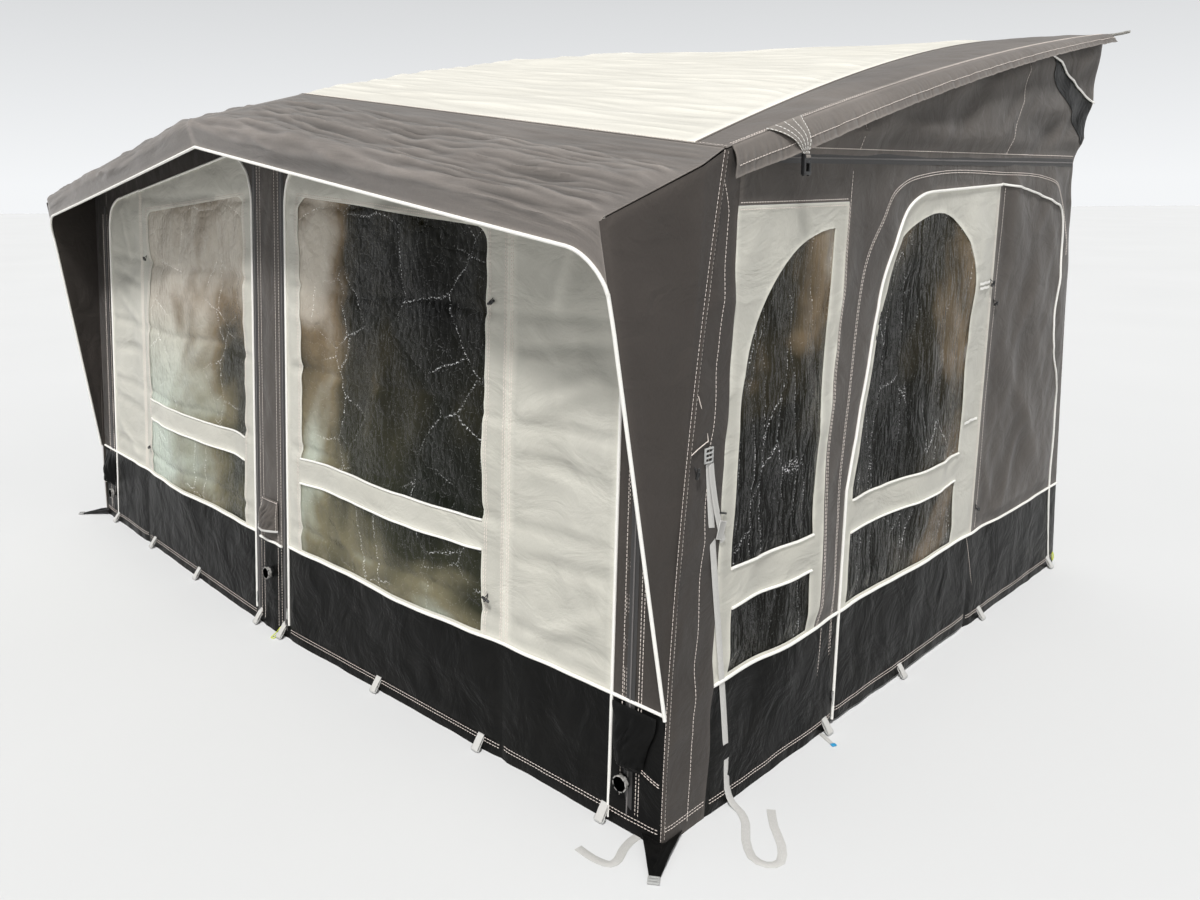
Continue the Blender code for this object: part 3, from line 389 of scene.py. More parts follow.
def clothFinish(name, colour, second, rough, **own):
    # two tones in broad patches, a mottle of threads, dust near the ground, painted shade along crease lines
    # and in hollows, painted light on crests, small creases and the weave
    values = {**clothSizes, **own}
    stretch, crest = values["stretch"], values["crest"]
    material, shader = newFinish(name, colour, rough, **{
        "Sheen Weight": values["sheen"], "Sheen Roughness": 0.5, "Specular IOR Level": values["specular"]})
    place, cut = objectPlace(material), cutPlace(material)
    patches = noiseAt(material, place, values["patch"], 4.0)
    patches = rampOn(material, patches, ((0.3, colour), (0.72, second)))
    threads = noiseAt(material, cut, 420.0, 2.0, (1, 0.25, 1))
    threads = rampOn(material, threads, greys((0.35, 0.80), (0.65, 1.0)))
    tone = blendOf(material, "MULTIPLY", values["mottle"], patches, threads)
    dusty = rampOn(material, noiseAt(material, place, 9.0, 6.0, rough=0.65), greys((0.45, 0.0), (0.75, 1.0)))
    parts = addNode(material, "ShaderNodeSeparateXYZ")
    join(material, (place, parts.inputs[0]))
    low = mapped(material, parts.outputs["Z"], (values["dustTop"], 0.0), (0.0, values["dust"]))
    tone = blendOf(material, "MIX", figured(material, "MULTIPLY", low, dusty), tone, values["soil"])
    # painted shade: darker lines along a stretched noise, standing in for the shade in creases and packing
    # folds
    folded = noiseAt(material, cut, values["foldScale"], 3.0, stretch, 0.5, 1.2)
    lines = rampOn(material, folded, greys((0.30, 1.0), (0.50, values["foldDark"]), (0.70, 1.0)))
    worn = noiseAt(material, cut, values["wornScale"], 5.0, stretch, 0.6, 0.4)
    worn = rampOn(material, worn, greys((0.30, values["wornDark"]), (0.70, values["wornLight"])))
    # crests rub pale, valleys keep their shade
    # painted light and shade: sharp crests (by pointiness) made paler and hollows darker, standing in for the
    # light and shade of the folds
    bend = addNode(material, "ShaderNodeNewGeometry").outputs["Pointiness"]
    paintedPointinessStops = greys((0.455, 1 - 1.2 * crest), (0.50, 1.0 - 0.2 * crest), (0.545, 1 + crest))
    paintedPointinessShade = rampOn(material, bend, paintedPointinessStops)
    tone = product(material, tone, lines, worn, paintedPointinessShade)
    creased = noiseAt(material, cut, values["creaseScale"], 5.0, stretch, 0.55, 0.6)
    normal = bumpOf(material, creased, values["creaseDepth"])
    normal = bumpOf(material, weaveOf(material, cut, values["weave"]), values["weaveDepth"], normal)
    join(material, (tone, shader.inputs["Base Color"]), (normal, shader.inputs["Normal"]))
    return material


finishes = {
    "dark": clothFinish(
        "dark_cloth", (0.042, 0.036, 0.031), (0.058, 0.049, 0.043), 0.72,
        sheen=0.08, specular=0.22, creaseScale=9.0, creaseDepth=0.011, dust=0.12),
    # painted light: the same dark cloth as the wings, made paler on the canopy whose top faces the sky and
    # sun, with stronger painted fold and crest tones
    "canopy": clothFinish(
        "canopy_cloth", (0.162, 0.143, 0.127), (0.196, 0.173, 0.155), 0.6,
        crest=0.42, sheen=0.22, foldScale=3.0, foldDark=0.84, wornDark=0.86, wornLight=1.16,
        creaseScale=9.0, stretch=(0.25, 1.6, 1), creaseDepth=0.014, dust=0.0),
    # painted light: the same dark cloth, made lighter on the roof bands and edge sleeves that face the sky
    "band": clothFinish(
        "band_cloth", (0.130, 0.113, 0.100), (0.170, 0.150, 0.133), 0.65,
        specular=0.3, wornDark=0.86, wornLight=1.14, creaseScale=9.0, creaseDepth=0.010, dust=0.0),
    # painted light: the same dark cloth as the wings, made lighter on the gables, side and rear walls, column
    # and its pocket, where more light falls
    "wall": clothFinish(
        "wall_cloth", (0.068, 0.059, 0.052), (0.094, 0.082, 0.072), 0.7,
        crest=0.45, sheen=0.1, specular=0.25, wornDark=0.88, wornLight=1.10, creaseScale=9.0,
        creaseDepth=0.012, dust=0.10),
    "light": clothFinish(
        "light_cloth", (0.485, 0.470, 0.410), (0.540, 0.525, 0.465), 0.75,
        sheen=0.12, creaseScale=7.0, stretch=(0.8, 1.3, 1), creaseDepth=0.014, mottle=0.25,
        soil=(0.36, 0.33, 0.27), dust=0.15),
    "roof": clothFinish(
        "roof_cloth", (0.68, 0.655, 0.58), (0.73, 0.705, 0.63), 0.7,
        sheen=0.1, foldScale=2.6, wornDark=0.96, wornLight=1.02, creaseScale=7.0,
        stretch=(0.3, 1.8, 1), creaseDepth=0.008, mottle=0.2, dust=0.0),
    "skirt": clothFinish(
        "skirt_cloth", (0.0050, 0.0050, 0.0050), (0.008, 0.008, 0.0075), 0.32,
        sheen=0.0, specular=0.06, creaseScale=7.5, stretch=(1.0, 0.8, 1), creaseDepth=0.016,
        mottle=0.15, soil=(0.022, 0.020, 0.018), weave=0.0012, weaveDepth=0.00002),
}
for key, name, colour, second, dust in (
        ("webbing", "grey_webbing", (0.42, 0.41, 0.385), (0.47, 0.46, 0.44), 0.1),
        ("taupe", "taupe_webbing", (0.17, 0.15, 0.13), (0.20, 0.18, 0.16), 0.0)):
    finishes[key] = clothFinish(name, colour, second, 0.65, creaseDepth=0.001, weave=0.0024,
                                weaveDepth=0.00015, dust=dust)


def plainFinish(name, colour, rough, grain, grainScale, tone, **sockets):
    # moulded plastic, metal and thread: a slight unevenness of tone and surface
    material, shader = newFinish(name, colour, rough, **sockets)
    uneven = noiseAt(material, objectPlace(material), grainScale, 4.0)
    second = tuple(part * (1 - tone) for part in colour)
    join(material, (rampOn(material, uneven, ((0.35, second), (0.65, colour))), shader.inputs["Base Color"]),
         (bumpOf(material, uneven, grain), shader.inputs["Normal"]))
    return material


for key, *values in (("piping", "white_piping", (0.84, 0.82, 0.77), 0.5, 0.0006, 240.0, 0.06),
                     ("thread", "seam_thread", (0.72, 0.64, 0.58), 0.6, 0.0003, 400.0, 0.15),
                     ("bead", "bead_tape_cloth", (0.40, 0.385, 0.35), 0.6, 0.0008, 260.0, 0.2),
                     ("zip", "zip_tape", (0.036, 0.034, 0.033), 0.55, 0.0006, 300.0, 0.2),
                     ("coil", "zip_coil", (0.16, 0.15, 0.145), 0.35, 0.0003, 300.0, 0.15),
                     ("tube", "air_tube_cloth", (0.020, 0.020, 0.021), 0.5, 0.002, 30.0, 0.25),
                     ("white", "white_plastic", (0.34, 0.33, 0.31), 0.35, 0.0002, 90.0, 0.06),
                     ("grey", "grey_plastic", (0.40, 0.40, 0.385), 0.38, 0.0002, 120.0, 0.08),
                     ("black", "black_plastic", (0.012, 0.012, 0.012), 0.36, 0.0003, 120.0, 0.2),
                     ("yellow", "yellow_cord", (0.62, 0.70, 0.05), 0.55, 0.0008, 400.0, 0.2),
                     ("blue", "blue_tip", (0.03, 0.30, 0.56), 0.4, 0.0002, 120.0, 0.1)):
    finishes[key] = plainFinish(*values)
finishes["metal"] = plainFinish("slider_metal", (0.40, 0.40, 0.39), 0.32, 0.0002, 300.0, 0.15, Metallic=1.0)


def cracks(material, cut, scale, stretch, warp):
    # the net of sharp folds in crumpled vinyl: distance to the nearest fold
    cells = addNode(material, "ShaderNodeTexVoronoi", scale=scale, feature="DISTANCE_TO_EDGE")
    spread = addNode(material, "ShaderNodeMapping")
    spread.inputs["Scale"].default_value = stretch
    wander = addNode(material, "ShaderNodeTexNoise", scale=7.0, detail=4.0)
    warped = blendOf(material, "LINEAR_LIGHT", warp, cut, wander.outputs["Color"])
    join(material, (cut, wander.inputs["Vector"]), (warped, spread.inputs["Vector"]),
         (spread.outputs[0], cells.inputs["Vector"]))
    return cells.outputs["Distance"]


vinyl = {
    "Transmission Weight": 0.12, "IOR": 1.28, "Specular IOR Level": 0.20, "Coat Weight": 0.09,
    "Coat Roughness": 0.06, "Coat IOR": 1.36,
}
# painted see-through shade and reflection: near black for the dark inside seen through the vinyl, warm brown
# and pale grey for reflected surroundings
seenThroughAndReflectedTones = ((0.36, (0.003, 0.003, 0.002)), (0.47, (0.007, 0.007, 0.004)), (0.55, (0.026, 0.022, 0.012)),
              (0.63, (0.17, 0.125, 0.075)), (0.74, (0.50, 0.455, 0.385)))


def clearFinish(name, reflectionLevelsByHeight, drift, paintedLowTintColour, coarse, fine, stretch):
    # creased glossy vinyl whose colour is painted: a painted dark for the interior seen through it and
    # painted reflections, darker low and hazy warm above, with painted glints and streaks along folds that
    # also catch the light
    material, shader = newFinish(name, (0.12, 0.12, 0.10), 0.10, **vinyl)
    place, cut = objectPlace(material), cutPlace(material)
    # painted reflection level: rises with height, wanders with a noise and drifts across the pane; a tint for
    # the lower panes
    blotch = noiseAt(material, place, 1.1, 4.0, rough=0.5, distortion=0.4)
    parts = addNode(material, "ShaderNodeSeparateXYZ")
    join(material, (place, parts.inputs[0]))
    share = figured(material, "DIVIDE", parts.outputs["Z"], 2.0)
    rise = rampOn(material, share, greys(*((height / 2, level) for height, level in reflectionLevelsByHeight)))
    paintedReflectionLevel = figured(material, "ADD", figured(material, "ADD", rise, blotch),
                   mapped(material, parts.outputs["X"], (-1.6, 1.6), drift))
    paintedLowTint = rampOn(material, share, ((0.36, paintedLowTintColour), (0.62, (1.0, 1.0, 1.0))))
    seenThroughAndReflected = product(material, rampOn(material, paintedReflectionLevel, seenThroughAndReflectedTones), paintedLowTint)
    coarse = cracks(material, cut, coarse, stretch, 0.03)
    fine = cracks(material, cut, fine, stretch, 0.02)
    # painted highlights: dotted glints along the fold lines and pale streaks, added to the colour as
    # reflections
    patch = rampOn(material, noiseAt(material, cut, 3.2, 3.0), greys((0.46, 0.0), (0.60, 1.0)))
    paintedGlintSpecks = rampOn(material, noiseAt(material, cut, 170.0, 2.0), greys((0.54, 0.0), (0.61, 1.0)))
    paintedGlintLines = rampOn(material, coarse, greys((0.0, 1.0), (0.016, 0.0)))
    paintedFineGlints = rampOn(material, fine, greys((0.0, 0.22), (0.040, 0.0)))
    paintedStreakReflections = noiseAt(material, cut, 60.0, 4.0, (1.6, 0.22, 1), 0.65, 1.5)
    paintedStreakReflections = rampOn(material, paintedStreakReflections, greys((0.62, 0.0), (0.80, 0.16)))
    tone = blendOf(material, "ADD", 0.9, seenThroughAndReflected, product(material, paintedGlintLines, patch, paintedGlintSpecks))
    tone = blendOf(material, "ADD", 0.45, tone, product(material, paintedFineGlints, paintedGlintSpecks))
    tone = blendOf(material, "ADD", 0.25, tone, paintedStreakReflections)
    normal = bumpOf(material, coarse, 0.022)
    normal = bumpOf(material, fine, 0.0045, normal)
    normal = bumpOf(material, noiseAt(material, cut, 26.0, 3.0, (1.4, 0.5, 1), 0.6, 1.0), 0.006, normal)
    join(material, (tone, shader.inputs["Base Color"]), (normal, shader.inputs["Normal"]),
         (normal, shader.inputs["Coat Normal"]))
    return material


# each vinyl: the painted reflection level by height, its drift across, the painted low tint, then the fold
# scales
finishes["clear"] = clearFinish(
    "clear_vinyl_front", ((0.50, 0.06), (0.74, 0.0), (1.0, 0.0), (1.35, 0.04), (1.60, 0.12)),
    (0.24, -0.14), (1.02, 1.24, 1.26), 4.2, 26.0, (1.0, 1.0, 1))
finishes["clearSide"] = clearFinish(
    "clear_vinyl_side", ((0.40, 0.0), (0.95, 0.02), (1.15, 0.16), (1.55, 0.22)),
    (-0.08, -0.08), (1.0, 1.0, 1.05), 5.0, 24.0, (2.0, 0.45, 1))
print("finishes made")

# which of the part's own finishes each look stands in
slots = {
    "dark_fabric": "dark canopy band wall zip coil", "light_fabric": "light piping thread",
    "roof_fabric": "roof", "black_skirt": "skirt", "clear_window": "clear clearSide",
    "webbing": "webbing taupe yellow", "bead_tape": "bead", "air_tube": "tube",
    "white_plastic": "white", "grey_plastic": "grey blue", "black_plastic": "black",
    "slider_metal": "metal",
}
slotOf = {finishes[key].name: slot for slot, keys in slots.items() for key in keys.split()}


# Makers of cloth, tubes and stitches

def turnOut(shape, facing):
    shape.normal_update()
    total = Vector((0, 0, 0))
    for face in shape.faces:
        total += face.normal * face.calc_area()
    if total.dot(facing) < 0:
        bmesh.ops.reverse_faces(shape, faces=shape.faces)


def meshPiece(name, shape, material):
    mesh = bpy.data.meshes.new(name)
    shape.to_mesh(mesh)
    shape.free()
    for vertex in mesh.vertices:
        vertex.co.y -= middle
    piece = bpy.data.objects.new(name, mesh)
    bpy.context.scene.collection.objects.link(piece)
    mesh.materials.append(finishes[material])
    return piece


def alone(piece):
    bpy.ops.object.select_all(action="DESELECT")
    piece.select_set(True)
    bpy.context.view_layer.objects.active = piece


def applied(piece, modifier):
    alone(piece)
    bpy.ops.object.modifier_apply(modifier=modifier.name)


def smoothed(piece, angle=50):
    alone(piece)
    bpy.ops.object.shade_smooth_by_angle(angle=radians(angle))
    return piece


def carried(piece, body, *nodes, slot=None):
    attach(piece, body)
    slot or slotOf[piece.data.materials[0].name]
    if nodes:
        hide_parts(*nodes)
    return piece


cutSizes = {}


def clothPiece(name, shape, cut, facing, hand, material, thick):
    shape.verts.index_update()
    layer = shape.loops.layers.uv.new("cut")
    for face in shape.faces:
        for corner in face.loops:
            corner[layer].uv = cut[corner.vert.index]
    turnOut(shape, mirrored(Vector(facing), hand))
    area = sum(face.calc_area() for face in shape.faces)
    us, vs = [spot[0] for spot in cut], [spot[1] for spot in cut]
    cutSizes[name] = (max(us) - min(us), max(vs) - min(vs), area)
    piece = meshPiece(name, shape, material)
    wall = piece.modifiers.new("wall", "SOLIDIFY")
    wall.thickness, wall.offset = thick, -1
    applied(piece, wall)
    return smoothed(piece)


def hung(piece, body, *nodes, held="stretched", grown=1.0, strip=None):
    # a piece of cloth: its body and the nodes it stands for; the size it was cut to is worked out here but
    # not kept
    carried(piece, body, *nodes)
    wide, long, area = cutSizes[piece.name]
    if strip:  # an arched or bent piece, sewn from a straight strip
        wide, long = strip
    flat = (round(wide * grown, 3), round(long, 3))
    area = min(max(area * grown, 0.31 * flat[0] * flat[1]), flat[0] * flat[1])
    return piece


def cutSheet(name, loops, place, relief, facing, material, pitch, hand=1, thick=shell["wall"]):
    # an outline with its holes, filled, cut into small squares and laid on a wall with its folds
    shape = bmesh.new()
    for loop in loops:
        corners = [shape.verts.new((u, v, 0)) for u, v in loop]
        for index, corner in enumerate(corners):
            shape.edges.new((corner, corners[(index + 1) % len(corners)]))
    bmesh.ops.triangle_fill(shape, use_beauty=True, use_dissolve=False, edges=shape.edges, normal=(0, 0, 1))
    for axis in (0, 1):
        spots = [vertex.co[axis] for vertex in shape.verts]
        line = (ceil(min(spots) / pitch) + 0.5) * pitch
        along = Vector((1 - axis, axis, 0))
        while line < max(spots):
            everything = shape.verts[:] + shape.edges[:] + shape.faces[:]
            bmesh.ops.bisect_plane(shape, geom=everything, dist=1e-6, plane_co=along * line, plane_no=along)
            line += pitch
    slanted = []
    for edge in shape.edges:
        span = edge.verts[0].co - edge.verts[1].co
        if len(edge.link_faces) == 2 and abs(span.x) > 1e-6 and abs(span.y) > 1e-6:
            slanted.append(edge)
    bmesh.ops.dissolve_edges(shape, edges=slanted, use_verts=False)
    left = [vertex for vertex in shape.verts if len(vertex.link_edges) == 2 and not vertex.is_boundary]
    bmesh.ops.dissolve_verts(shape, verts=left)
    cut = []
    for vertex in shape.verts:
        u, v = vertex.co.x, vertex.co.y
        cut.append((u, v))
        vertex.co = mirrored(place(u, v, relief(u, v)), hand)
    return clothPiece(name, shape, cut, facing, hand, material, thick)


def grid(rows, columns, make):
    # rows of what make gives for the shares down and across
    return [[make(level / rows, step / columns) for step in range(columns + 1)] for level in range(rows + 1)]


def onEach(spots, make):
    return [[make(*spot) for spot in line] for line in spots]


def around(points, index):
    return points[max(index - 1, 0)], points[min(index + 1, len(points) - 1)]


def loftSheet(name, rows, spots, facing, material, hand=1, thick=shell["wall"], relief=None):
    # rows of points, pushed out along their own normals by relief, then skinned; spots is the cut
    facing = Vector(facing)
    shape = bmesh.new()
    lines = []
    for level, row in enumerate(rows):
        line = []
        for index, point in enumerate(row):
            spot = point.copy()
            if relief:
                before, after = around(row, index)
                below, above = (near[index] for near in around(rows, level))
                normal = (after - before).cross(above - below).normalized()
                if normal.dot(facing) < 0:
                    normal = -normal
                spot += normal * relief[level][index]
            line.append(shape.verts.new(mirrored(spot, hand)))
        lines.append(line)
    for lower, upper in zip(lines, lines[1:]):
        for index in range(len(lower) - 1):
            shape.faces.new((lower[index], lower[index + 1], upper[index + 1], upper[index]))
    return clothPiece(name, shape, sum(spots, []), facing, hand, material, thick)


def skinned(shape, rings, layer=None, across=None, walked=()):
    # joins closed rings and caps their ends; layer takes the cloth's own coordinates
    count = len(rings[0])
    for level, (near, far) in enumerate(zip(rings, rings[1:])):
        for index in range(count):
            after = (index + 1) % count
            face = shape.faces.new((near[index], near[after], far[after], far[index]))
            if layer is not None:
                start, end = walked[level:level + 2]
                spots = ((index, start), (index + 1, start), (index + 1, end), (index, end))
                for corner, (step, along) in zip(face.loops, spots):
                    corner[layer].uv = (across(step), along)
    shape.faces.new(list(reversed(rings[0])))
    shape.faces.new(rings[-1])


def addTube(shape, points, radius, sides=8, flat=1.0, up=None):
    # a closed round or flattened tube along points
    rings = []
    normal = Vector(up) if up is not None else Vector((0.31, 0.17, 0.93))
    for index, point in enumerate(points):
        before, after = around(points, index)
        along = (after - before).normalized()
        normal = (normal - along * normal.dot(along)).normalized()
        across = along.cross(normal)
        ring = []
        for step in range(sides):
            angle = 2 * pi * (step + 0.5) / sides
            spot = point + across * (radius * cos(angle)) + normal * (radius * flat * sin(angle))
            ring.append(shape.verts.new(spot))
        rings.append(ring)
    skinned(shape, rings)


def closed(name, shape, material, angle=None):
    bmesh.ops.recalc_face_normals(shape, faces=shape.faces)
    piece = meshPiece(name, shape, material)
    return smoothed(piece, angle) if angle else piece


def tubePiece(name, lines, radius, material, hand=1, body="shelter", flat=1.0, up=None, slot=None):
    shape = bmesh.new()
    for line in lines:
        addTube(shape, [mirrored(point, hand) for point in line], radius, 8, flat, up)
    return carried(closed(name, shape, material, 60), body, slot=slot)


def piping(name, lines, hand=1, body="shelter", radius=0.005):
    return tubePiece(name, lines, radius, "piping", hand, body)


stitch = {"long": 0.0088, "gap": 0.0028, "wide": 0.0026, "high": 0.0013, "sunk": 0.0004, "rows": 0.008}


def addStitches(shape, line, facing, hand=1, **own):
    # short raised threads along a line, each with its ends sunk into the cloth
    values = {**stitch, **own}
    gap, high = values["gap"], values["high"]
    spots = evenly([mirrored(point, hand) for point in line], values["long"] + gap)
    out = mirrored(Vector(facing), hand)
    for a, b in zip(spots, spots[1:]):
        along = (b - a).normalized()
        normal = (out - along * out.dot(along)).normalized()
        across = along.cross(normal) * (values["wide"] / 2)
        start, end = a + along * (gap / 2), b - along * (gap / 2)
        quarter = (end - start) * 0.25
        spine = ((start, -values["sunk"], 0.5), (start + quarter, high / 2, 1),
                 (end - quarter, high / 2, 1), (end, -values["sunk"], 0.5))
        rings = []
        for point, lift, share in spine:
            top = point + normal * lift
            section = (top - across * share, top + across * share, top + normal * high * 0.6)
            rings.append([shape.verts.new(corner) for corner in section])
        skinned(shape, rings)


def stitchPiece(name, lines, facing, hand=1, body="shelter", slot=None, material="thread", **own):
    shape = bmesh.new()
    for line in lines:
        addStitches(shape, line, facing, hand, **own)
    return carried(closed(name, shape, material), body, slot=slot)


def swell(u, v, size, stretch=1.0, seed=0.0):
    return noise.noise(Vector((u / size, v / (size * stretch), seed + 0.37)))


def ridge(u, v, size, stretch=1.0, seed=0.0):
    # sharp crests with soft valleys between them
    return 1 - 2 * abs(swell(u, v, size, stretch, seed))


def creases(u, v, lines):
    total = 0.0
    for u0, v0, u1, v1, depth, wide in lines:
        length = (u1 - u0) ** 2 + (v1 - v0) ** 2
        share = ((u - u0) * (u1 - u0) + (v - v0) * (v1 - v0)) / length
        if -0.05 < share < 1.05:
            away = sqrt((u - mix(u0, u1, share)) ** 2 + (v - mix(v0, v1, share)) ** 2)
            if away < 3 * wide:
                total += depth * exp(-(away / wide) ** 2) * sqrt(max(0.0, sin(pi * max(0, min(1, share)))))
    return total


def arcPoints(hub, radius, start, end, steps):
    line = []
    for step in range(steps + 1):
        angle = radians(mix(start, end, step / steps))
        line.append((hub[0] + radius * cos(angle), hub[1] + radius * sin(angle)))
    return line


def onWall(line, place, relief, out):
    return [place(u, v, relief(u, v) + out) for u, v in line]


def moved(points, x, y, z):
    return [point + Vector((x, y, z)) for point in points]


def denser(line, pitch):
    spots = evenly([Vector((u, v, 0)) for u, v in line], pitch)
    return [(spot.x, spot.y) for spot in spots]


def besides(line, offset):
    # the same flat line, a step to its left
    beside = []
    for index, spot in enumerate(line):
        before, after = around(line, index)
        du, dv = after[0] - before[0], after[1] - before[1]
        size = max(sqrt(du * du + dv * dv), 1e-9)
        beside.append((spot[0] - dv / size * offset, spot[1] + du / size * offset))
    return beside


def twoRows(line):
    return [besides(line, stitch["rows"] / 2), besides(line, -stitch["rows"] / 2)]


def bothHands(*makers):
    for make in makers:
        for hand, word in hands:
            make(hand, word)


# Straps on the right corner

straps = {
    "wide": 0.025, "thick": 0.0015, "lockHeight": 1.068, "fold": 0.006, "steps": 2,
    "stormWall": [(0.158, 1.0450), (0.163, 1.000), (0.176, 0.900), (0.207, 0.700), (0.240, 0.500),
                  (0.272, 0.300), (0.295, 0.140), (0.303, 0.050)],
    "stormGround": [(0.060, 0.295), (0.100, 0.262), (0.140, 0.205), (0.190, 0.160), (0.235, 0.160),
                    (0.255, 0.197), (0.220, 0.255), (0.160, 0.310), (0.115, 0.365)],
    "footIn": 0.077,
    "footGround": [(-0.077, -0.025), (-0.067, -0.065), (-0.052, -0.100), (-0.055, -0.128), (-0.085, -0.140),
                   (-0.120, -0.143), (-0.160, -0.141)],
}


def strapPiece(name, node, points, flat):
    # flat webbing with rounded edges, its face turning from the wall's way to level on the ground
    route = smoothLine(points, straps["steps"])
    shape = bmesh.new()
    layer = shape.loops.layers.uv.new("cut")
    normal, walked, rings = Vector(flat), [0.0], []
    half, thick = straps["wide"] / 2, straps["thick"] / 2
    section = [(-1, -0.4), (-0.94, -1), (0.94, -1), (1, -0.4), (1, 0.4), (0.94, 1), (-0.94, 1), (-1, 0.4)]
    for index, point in enumerate(route):
        before, after = around(route, index)
        along = (after - before).normalized()
        normal = (normal - along * normal.dot(along)).normalized()
        if point.z < straps["wide"]:
            normal = normal.lerp(Vector((0, 0, 1)), 1 - 0.5 ** (2 / straps["steps"]))
            normal = (normal - along * normal.dot(along)).normalized()
        across = along.cross(normal)
        walked.append(walked[-1] + (point - before).length)
        spots = [point + across * (half * a) + normal * (thick * b) for a, b in section]
        rings.append([shape.verts.new(spot) for spot in spots])
    skinned(shape, rings, layer, lambda step: section[step % len(section)][0] * half, walked[1:])
    piece = carried(closed(name, shape, "webbing", 60), "shelter", node)


def makeStraps():
    lay = straps["thick"] / 2 + shell["seam"]
    ground = {key: [Vector((shell["half"] + out, y, lay)) for out, y in straps[key]]
              for key in ("stormGround", "footGround")}
    fold, top = straps["fold"] / 2, straps["lockHeight"]
    wall = [side(y, z, lay + fold * (1 - z / top)) for y, z in straps["stormWall"]]
    bend = side(straps["stormWall"][-1][0], lay + straps["wide"] / 3, straps["wide"])
    strapPiece("storm_strap_web", "storm_strap", wall + [bend] + ground["stormGround"], sideOut)
    seat = front(shell["half"] - straps["footIn"] - straps["wide"] / 2, lay, straps["fold"] / 3)
    seat.x += straps["wide"] / 2
    strapPiece("foot_strap_web", "foot_strap", [seat] + ground["footGround"], upwards)


makeStraps()
print("straps laid")


# Roof and canopy

roofSheet = {"columns": 170, "rows": 190, "wave": 0.012, "long": 0.8, "fine": 0.0065}
bandSheet = {"columns": 20, "rows": 190, "wave": 0.006}


def onRoof(x, y):
    return Vector((x, y, roofZ(x, y)))


def laidRoof(name, node, material, sizes, left, right, relief, hand=1):
    # a sheet on the roof between two lines that run from the canopy to the back
    def spot(down, across):
        y = mix(shell["junction"] + seamGap, shell["depth"], down)
        return mix(left(y), right(y), across), y

    spots = grid(sizes["rows"], sizes["columns"], spot)
    folds = onEach(spots, relief)
    sheet = loftSheet(name, onEach(spots, onRoof), spots, upwards, material, hand, relief=folds)
    hung(sheet, "shelter", node)


def roofRelief(x, y):
    # long tight wrinkles that run with the caravan, and the dip between ridge and edges
    depth = fade(y, shell["junction"], shell["depth"], 0.10) * fade(x, -lightHalf(y), lightHalf(y), 0.10)
    pull = swell(x, y, roofSheet["long"], 0.16, 3.1) + 0.5 * swell(x + y * 0.35, y, 0.30, 0.13, 8.4)
    return roofSheet["wave"] * pull * depth + roofSheet["fine"] * ridge(x, y, 0.5, 0.05, 1.7) * depth


def makeRoof():
    laidRoof("roof_cloth", "roof_panel", "roof", roofSheet, lambda y: -lightHalf(y), lightHalf, roofRelief)


def bandRelief(x, y, hand):
    share = (x - lightHalf(y)) / (roofHalf(y) - lightHalf(y))
    ends = fade(y, shell["junction"], shell["depth"], 0.15)
    rise = 0.006 * sin(pi * share) * ends * fade(share, 0, 1, 0.05)
    pull = swell(y, x, 0.22, 0.5, 5.0 + hand) + 0.6 * ridge(y, x, 0.11, 0.9, 2.0 * hand)
    wave = bandSheet["wave"] * pull * fade(share, 0, 1, 0.25) * ease((shell["depth"] - y) / 0.1)
    return ease((y - shell["junction"]) / 0.5) * (rise + wave)


def makeBand(hand, word):
    laidRoof("roof_band_cloth_" + word, "roof_band_" + word, "band", bandSheet, lightHalf, roofHalf,
             partial(bandRelief, hand=hand), hand)


canopySheet = {
    "columns": 170, "steps": 60, "wave": 0.027, "corner": 0.005, "leftShare": 0.72, "dense": 1.4,
    "cut": 0.0083, "turn": 0.30, "piping": 0.0055,
}


def canopyAcross(share):
    # closer together towards the outer corner
    return 1 - (1 - share) ** canopySheet["dense"]


def canopyLine(across):
    # from the roof to the eave, round the fold and down the fascia
    steps = canopySheet["steps"]
    top = [canopyPoint(across, step / steps) for step in range(steps + 1)]
    low = fasciaPoint(across)
    turn = top[-1]
    rounded = top[:-3]
    start, end = top[-4], turn.lerp(low, canopySheet["turn"])
    for step in range(1, 6):
        share = step / 6
        rounded.append(start.lerp(turn, share).lerp(turn.lerp(end, share), share))
    return rounded + [turn.lerp(low, mix(canopySheet["turn"], 1, step / 6)) for step in range(7)]


def canopyRelief(across, down, hand):
    # lengthwise wrinkles of the taut cloth, gathered towards the outer corner
    x = across * shell["half"]
    keep = ease(down / 0.40) * ease((1.15 - down) / 0.22) * ease(across / 0.08) * ease((1 - across) / 0.04)
    pull = ridge(x, down * 0.5 + x * 0.05, 0.95, 0.115, 11 + hand) * 0.75
    pull += swell(x, down * 0.5, 1.2, 0.14, 4 + hand)
    fine = ridge(x, down * 0.5 - x * 0.04, 0.32, 0.08, 31 + hand) * 0.35
    fine += 0.3 * swell(x, down * 0.5 + x * 0.2, 0.10, 0.5, 2 + hand)
    gathered = ease((across - 0.78) / 0.2) * ridge(x + down * 0.2, down * 0.45, 0.16, 0.45, 7 + hand)
    wave = canopySheet["wave"] * (1 if hand > 0 else canopySheet["leftShare"])
    return keep * (wave * (pull + fine) + canopySheet["corner"] * gathered)


